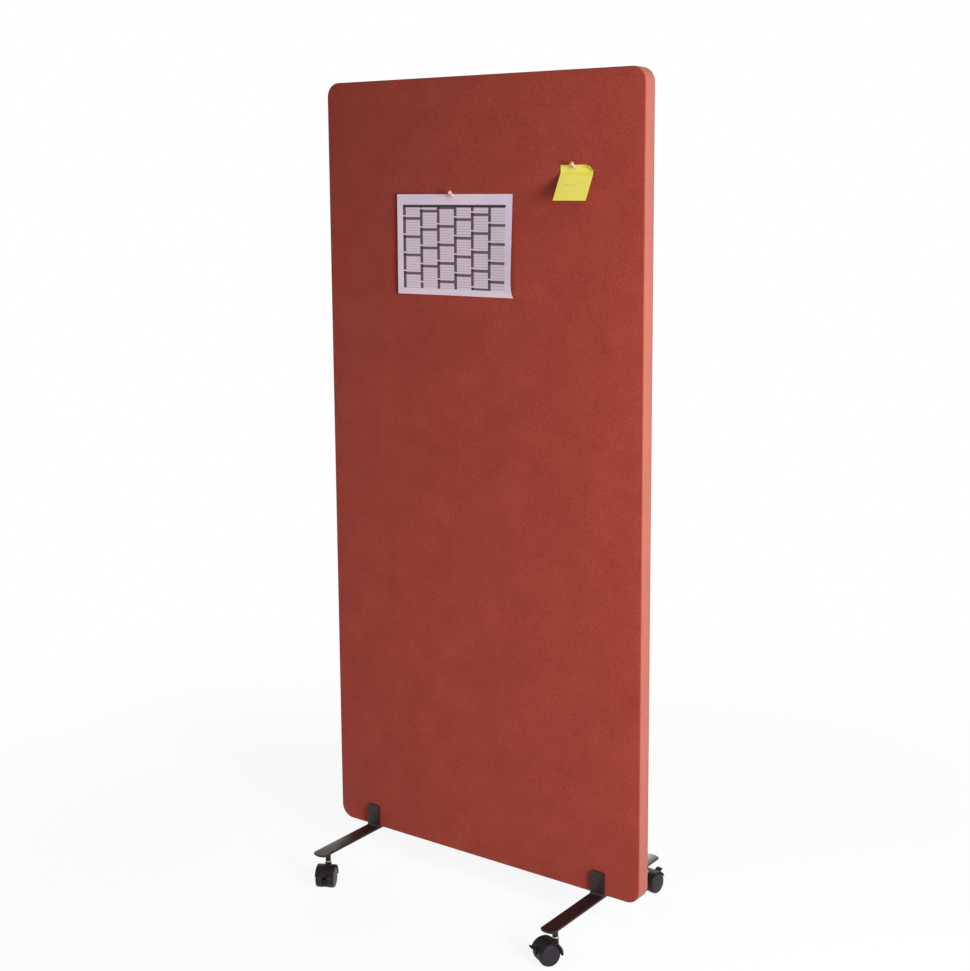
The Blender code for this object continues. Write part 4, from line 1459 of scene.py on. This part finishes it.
    def ribs(self) -> bpy.types.Mesh:
        """The grip ribs side by side on the pedal's upper face."""
        tree = GeometryTree("grip_ribs", {
            "Count": self.rib_count, "Pitch": self.rib_pitch,
            "Length": self.lever_width - self.rib_margin, "Radius": self.rib_radius,
            "Material": self.finishes["brake_lever_plastic"]})
        rib = tree.node("GeometryNodeTransform", None,
                        {"Geometry": tree.rod(10, tree["Radius"], tree["Length"]),
                         "Rotation": (0.0, math.pi / 2, 0.0)})
        mesh = tree.run("ribs", tree.row(rib, tree.vector(y=tree["Pitch"])))
        start = self.lever_start - self.lever_pivot + self.rib_start
        base, end = self.lever_base / 2, self.lever_end / 2
        slope = math.atan2(base - end, self.lever_tip - end - self.lever_start)
        side = Matrix.Translation((0.0, start, -base * self.lever_taper))
        mesh.transform(self.lever_matrix() @ side @ Matrix.Rotation(slope, 4, "X"))
        return mesh

    def build(self) -> None:
        """Build the castor and place it."""
        where, place = self.matrix(), self.place
        lever = self.lever()
        lever.transform(self.lever_matrix())
        rows = [("castor_hood", self.hood(), "black_castor_plastic", f"{place}_castor", ["hood"]),
                ("castor_stem", self.stem(), "zinc_steel", "panel", ["stem"]),
                ("lever", lever, "brake_lever_plastic", f"{place}_brake", ["brake_lever"]),
                ("lever_ribs", self.ribs(), "brake_lever_plastic", f"{place}_brake", [])]
        rows += [(f"{side}_tyre_wheel", self.wheel(sign), "castor_wheel_plastic",
                  f"{place}_{side}_wheel", [f"wheel_{side}"])
                 for side, sign in (("left", -1), ("right", 1))]
        for name, mesh, slot, body, nodes in rows:
            mesh.transform(where)
            self.add(f"{place}_{name}", mesh, slot, body, [f"{place}_{node}" for node in nodes],
                     crease=28.0)
        self.dress([f"{place}_axle"], "zinc_steel")


@dataclass(frozen=True)
class PlannerCurl:
    """The planner stands off the board at its sides, most of all low down on the right."""

    left_rise: float = 0.0035
    right_rise: float = 0.0115
    foot_power: float = 14.0
    ripple_rate: float = 37.0
    ripple_start: float = 0.8
    ripple_rise: float = 0.0003

    def bend(self, across: Val, fall: Val, width: float,
             height: float) -> tuple[Operand, Operand, Operand]:
        """Lift the sheet's sides and let its foot fall back to the board.

        Args:
            across: the place across the flat sheet, from its middle.
            fall: the place down the flat sheet, from its upper edge.
            width: the sheet's width.
            height: the sheet's height.

        Returns:
            The place across, how far the sheet stands off, and how far down it is.
        """
        side, down = across * (2 / width), fall * (1 / height)
        left, right = side.at_most(0.0), side.at_least(0.0)
        ripple = (across * self.ripple_rate + self.ripple_start).sine() + 1.0
        out = left * left * self.left_rise + ripple * down * self.ripple_rise
        lifted = right * right * down * (1.0 - down ** self.foot_power)
        return across, out + lifted * self.right_rise, fall


@dataclass(frozen=True)
class NoteCurl:
    """The note hangs flat, then slopes off the board. Its top right corner is rolled."""

    flat: float = 0.012
    bend_radius: float = 0.012
    slope: float = math.radians(28.0)
    corner_reach: float = 0.014
    roll_radius: float = 0.008

    def bend(self, across: Val, fall: Val, width: float,
             height: float) -> tuple[Operand, Operand, Operand]:
        """Roll the corner, then bend the lower part out.

        Args:
            across: the place across the flat sheet, from its middle.
            fall: the place down the flat sheet, from its upper edge.
            width: the sheet's width.
            height: the sheet's height.

        Returns:
            The place across, how far the sheet stands off, and how far down it is.
        """
        diagonal = (width / 2 - across + fall) / math.sqrt(2)
        reach = (self.corner_reach - diagonal).at_least(0.0)
        turn = reach / self.roll_radius
        drawn_in = (reach - turn.sine() * self.roll_radius) / math.sqrt(2)
        rolled = (1.0 - turn.cosine()) * self.roll_radius
        across, fall = across - drawn_in, fall + drawn_in
        bent = ((fall - self.flat).at_least(0.0) / self.bend_radius).at_most(self.slope)
        straight = (fall - self.flat - self.bend_radius * self.slope).at_least(0.0)
        out = rolled + (1.0 - bent.cosine()) * self.bend_radius
        out = out + straight * math.sin(self.slope)
        drop = fall.at_most(self.flat) + bent.sine() * self.bend_radius
        return across, out, drop + straight * math.cos(self.slope)


@dataclass
class PinnedSheet(Assembly):
    """A sheet of paper that curls off the board behind its push pin."""

    name: str
    body: str
    slot: str
    width: float
    height: float
    pin_inset: float
    entry: Place
    curl: PlannerCurl | NoteCurl
    steps: tuple[int, int] = (61, 49)
    thickness: float = 0.0003

    def curled(self) -> bpy.types.Mesh:
        """Curl a grid, and give it a thickness and a place on the print."""
        columns, rows = self.steps
        tree = GeometryTree(f"{self.name}_curl", {
            "Width": self.width, "Height": self.height, "Columns": columns, "Rows": rows,
            "Pin Inset": self.pin_inset, "Clearance": CLEARANCE,
            "Thickness": self.thickness, "Material": self.finishes[self.slot]})
        grid = tree.node("GeometryNodeMeshGrid", None,
                         {"Size X": tree["Width"], "Size Y": tree["Height"],
                          "Vertices X": tree["Columns"], "Vertices Y": tree["Rows"]}, "Mesh")
        print_place = Val(tree, grid.socket.node.outputs["UV Map"])
        marked = tree.node("GeometryNodeStoreNamedAttribute",
                           {"data_type": "FLOAT2", "domain": "CORNER"},
                           {"Geometry": grid, "Name": "UVMap", "Value": print_place})
        x, y, _ = tree.parts(tree.node("GeometryNodeInputPosition"))
        across, out, drop = self.curl.bend(x, tree["Height"] * 0.5 - y, self.width, self.height)
        place = tree.vector(across, (out + tree["Clearance"]) * -1.0, tree["Pin Inset"] - drop)
        curled = tree.node("GeometryNodeSetPosition", None,
                           {"Geometry": marked, "Position": place})
        face = tree.node("GeometryNodeExtrudeMesh", {"mode": "FACES"},
                         {"Mesh": curled, "Offset Scale": tree["Thickness"],
                          "Individual": False}, "Mesh")
        back = tree.node("GeometryNodeFlipFaces", None, {"Mesh": curled})
        return tree.run(self.name, tree.welded(face, back))

    def build(self) -> None:
        """Build the sheet where its pin goes in."""
        mesh = self.curled()
        mesh.transform(Matrix.Translation(self.entry))
        self.add(f"{self.name}_paper", mesh, self.slot, self.body, [self.name], crease=60.0)


@dataclass
class PushPin(Assembly):
    """A clear push pin: a waisted head on a steel needle."""

    name: str
    entry: Place
    length: float = 0.0135
    flange: Point = (0.00475, 0.0018)
    waist_radius: float = 0.0024
    cap: Point = (0.0041, 0.003)
    waist_ends: Point = (0.0012, 0.0002)
    waist_steps: int = 12
    sides: int = 40
    rounding: float = 0.0005

    def head(self) -> bmesh.types.BMesh:
        """The moulded head, along +Z from its flange."""
        (flange, low), (cap, height), soft = self.flange, self.cap, self.rounding
        high = self.length - height
        profile = [(0.0, 0.0), (flange - soft, 0.0)]
        profile += arc((flange - soft, soft), soft, -90.0, 0.0, 4)
        profile += arc((flange - soft, low - soft), soft, 0.0, 90.0, 4)
        start, end = flange - self.waist_ends[0], cap - self.waist_ends[1]
        for step in range(1, self.waist_steps):
            share = step / self.waist_steps
            bend = 0.5 - 0.5 * math.cos(2 * math.pi * share)
            edge = start * (1 - share) + end * share
            profile.append((edge + (self.waist_radius - edge) * bend,
                            low + (high - low) * share))
        profile += arc((cap - soft, high + soft), soft, -60.0, 0.0, 3)
        profile += arc((cap - soft, self.length - soft), soft, 0.0, 90.0, 4)
        profile.append((0.0, self.length))
        return turned(profile, steps=self.sides)

    def matrix(self) -> Matrix:
        """The head's own frame, from the packed joint's axis and the head's box."""
        out = Vector(joint(f"{self.name}_pull")["axis"]).normalized()
        turn = out.to_track_quat("Z", "Y").to_matrix().to_4x4()
        low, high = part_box(f"{self.name}_head")
        middle = (low + high) / 2
        reach = (middle - Vector(self.entry)).dot(out) - self.length / 2
        return Matrix.Translation(Vector(self.entry) + out * reach) @ turn

    def build(self) -> None:
        """Build the head and dress the needle."""
        mesh = plain(self.head())
        mesh.transform(self.matrix())
        self.add(f"{self.name}_clear_head", mesh, "clear_pin_plastic", self.name,
                 [f"{self.name}_head"])
        self.dress([f"{self.name}_needle"], "needle_steel")


@dataclass(frozen=True)
class Lamp:
    """A soft rectangular lamp, hung at a place and pointed at another."""

    name: str
    place: Place
    target: Place
    size: Point
    power: float

    def hang(self) -> None:
        """Hang the lamp."""
        light = bpy.data.lights.new(self.name, "AREA")
        light.shape = "RECTANGLE"
        light.size, light.size_y = self.size
        light.energy = self.power
        obj = linked(self.name, light)
        obj.location = self.place
        aim = Vector(self.target) - Vector(self.place)
        obj.rotation_euler = aim.to_track_quat("-Z", "Y").to_euler()


@dataclass
class Studio:
    """The pale floor, the soft lamps and the camera."""

    white: tuple[float, ...] = (1.0, 1.0, 1.0, 1.0)
    floor_tone: tuple[float, ...] = (0.88, 0.88, 0.88, 1.0)
    floor_size: float = 24.0
    near_share: float = 0.9
    near_reach: Point = (0.7, 2.2)
    ambient: float = 0.08
    camera_place: Place = (1.8713, -2.548, 1.5255)
    camera_turn: Place = (-35.722, 8.448, -0.322)
    sensor: float = 36.0
    lens: float = 56.409
    shift: Point = (-0.01265, -0.07364)
    lamps: tuple[Lamp, ...] = (
        Lamp("key", (2.5, -0.9, 1.35), (0.2, 0.0, 0.85), (0.7, 0.9), 103.0),
        Lamp("top", (1.5, -0.9, 2.8), (0.2, 0.0, 1.2), (1.0, 1.0), 12.5),
        Lamp("low", (-0.7, -1.7, 0.35), (-0.1, 0.0, 0.3), (1.6, 0.6), 8.3),
        Lamp("back", (-1.7, 2.6, 1.5), (0.0, 0.0, 0.9), (1.4, 1.4), 54.0))

    def seen_directly(self, graph: Graph) -> Val:
        """1 for a ray from the camera, or one that gloss or clear plastic passes on."""
        first = graph.node("ShaderNodeLightPath", None, None, "Is Camera Ray")
        outputs = first.socket.node.outputs
        glossy, clear = (Val(graph, outputs[key]) for key in ("Is Glossy Ray",
                                                              "Is Transmission Ray"))
        return first.at_least(glossy).at_least(clear)

    def floor(self) -> None:
        """Lay the floor, which is white to the camera but keeps the object's shadow."""
        half = self.floor_size / 2
        mesh = bpy.data.meshes.new("floor")
        mesh.from_pydata([(-half, -half, 0), (half, -half, 0), (half, half, 0),
                          (-half, half, 0)], [], [(0, 1, 2, 3)])
        material = bpy.data.materials.new("pale_floor")
        material.use_nodes = True
        graph = Graph(material.node_tree)
        graph.tree.nodes.remove(graph.tree.nodes["Principled BSDF"])
        matt = graph.node("ShaderNodeBsdfDiffuse", None, {"Color": self.floor_tone})
        glow = graph.node("ShaderNodeEmission", None, {"Color": self.white})
        x, y, _ = graph.parts(graph.node("ShaderNodeTexCoord", None, None, "Object"))
        away = ((x * x + y * y) ** 0.5).ramp(*self.near_reach)
        share = self.seen_directly(graph) * (away * (1.0 - self.near_share) + self.near_share)
        mixed = graph.node("ShaderNodeMixShader", None,
                           {"Fac": share, "Shader": matt, "Shader_001": glow})
        graph.feed(graph.tree.nodes["Material Output"].inputs["Surface"], mixed)
        mesh.materials.append(material)
        linked("floor", mesh)

    def world(self) -> None:
        """Surround the object with white that lights it softly."""
        world = bpy.data.worlds.new("studio")
        world.use_nodes = True
        bpy.context.scene.world = world
        graph = Graph(world.node_tree)
        graph.tree.nodes.remove(graph.tree.nodes["Background"])
        shown = graph.node("ShaderNodeBackground", None, {"Color": self.white})
        soft = graph.node("ShaderNodeBackground", None,
                          {"Color": self.white, "Strength": self.ambient})
        mixed = graph.node("ShaderNodeMixShader", None,
                           {"Fac": self.seen_directly(graph), "Shader": soft,
                            "Shader_001": shown})
        graph.feed(graph.tree.nodes["World Output"].inputs["Surface"], mixed)

    def camera(self) -> None:
        """Set the camera at the photograph's viewpoint."""
        data = bpy.data.cameras.new("camera")
        data.sensor_fit = "HORIZONTAL"
        data.sensor_width, data.lens = self.sensor, self.lens
        data.shift_x, data.shift_y = self.shift
        yaw, pitch, roll = (math.radians(angle) for angle in self.camera_turn)
        ahead = Vector((math.sin(yaw) * math.cos(pitch), math.cos(yaw) * math.cos(pitch),
                        -math.sin(pitch)))
        right = Vector((math.cos(yaw), -math.sin(yaw), 0.0))
        up = right.cross(ahead)
        level = right * math.cos(roll) + up * math.sin(roll)
        upright = up * math.cos(roll) - right * math.sin(roll)
        turn = Matrix((level, upright, -ahead)).transposed().to_4x4()
        obj = linked("camera", data)
        obj.matrix_world = Matrix.Translation(self.camera_place) @ turn
        bpy.context.scene.camera = obj

    def build(self) -> None:
        """Set the whole studio up."""
        bpy.context.scene.view_settings.view_transform = "Standard"
        self.floor()
        self.world()
        for lamp in self.lamps:
            lamp.hang()
        self.camera()


def keep_sizes() -> None:
    """Write the CAD model's box and the dressed model's box."""
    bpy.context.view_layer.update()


def main() -> None:
    """Build every piece in order and say so."""
    logging.basicConfig(level=logging.INFO, format="%(message)s")
    Studio().build()
    finishes = Finishes()
    parts: list[Assembly] = [Covers(finishes)]
    parts += [Foot(finishes, side) for side in ("left", "right")]
    parts += [Castor(finishes, f"{end}_{side}") for end in ("front", "rear")
              for side in ("left", "right")]
    planner_entry, note_entry = (-0.0555, -0.018, 1.5071), (0.247, -0.018, 1.5611)
    parts += [PushPin(finishes, "calendar_pin", planner_entry),
              PushPin(finishes, "note_pin", note_entry),
              PinnedSheet(finishes, "calendar_sheet", "calendar", "calendar_paper",
                          width=0.297, height=0.210, pin_inset=0.007, entry=planner_entry,
                          curl=PlannerCurl()),
              PinnedSheet(finishes, "sticky_note", "note", "yellow_paper", width=0.076,
                          height=0.076, pin_inset=0.009, entry=note_entry, curl=NoteCurl(),
                          steps=(41, 41))]
    for part in parts:
        part.build()
        part.report()
    keep_sizes()


if __name__ == "__main__":
    main()
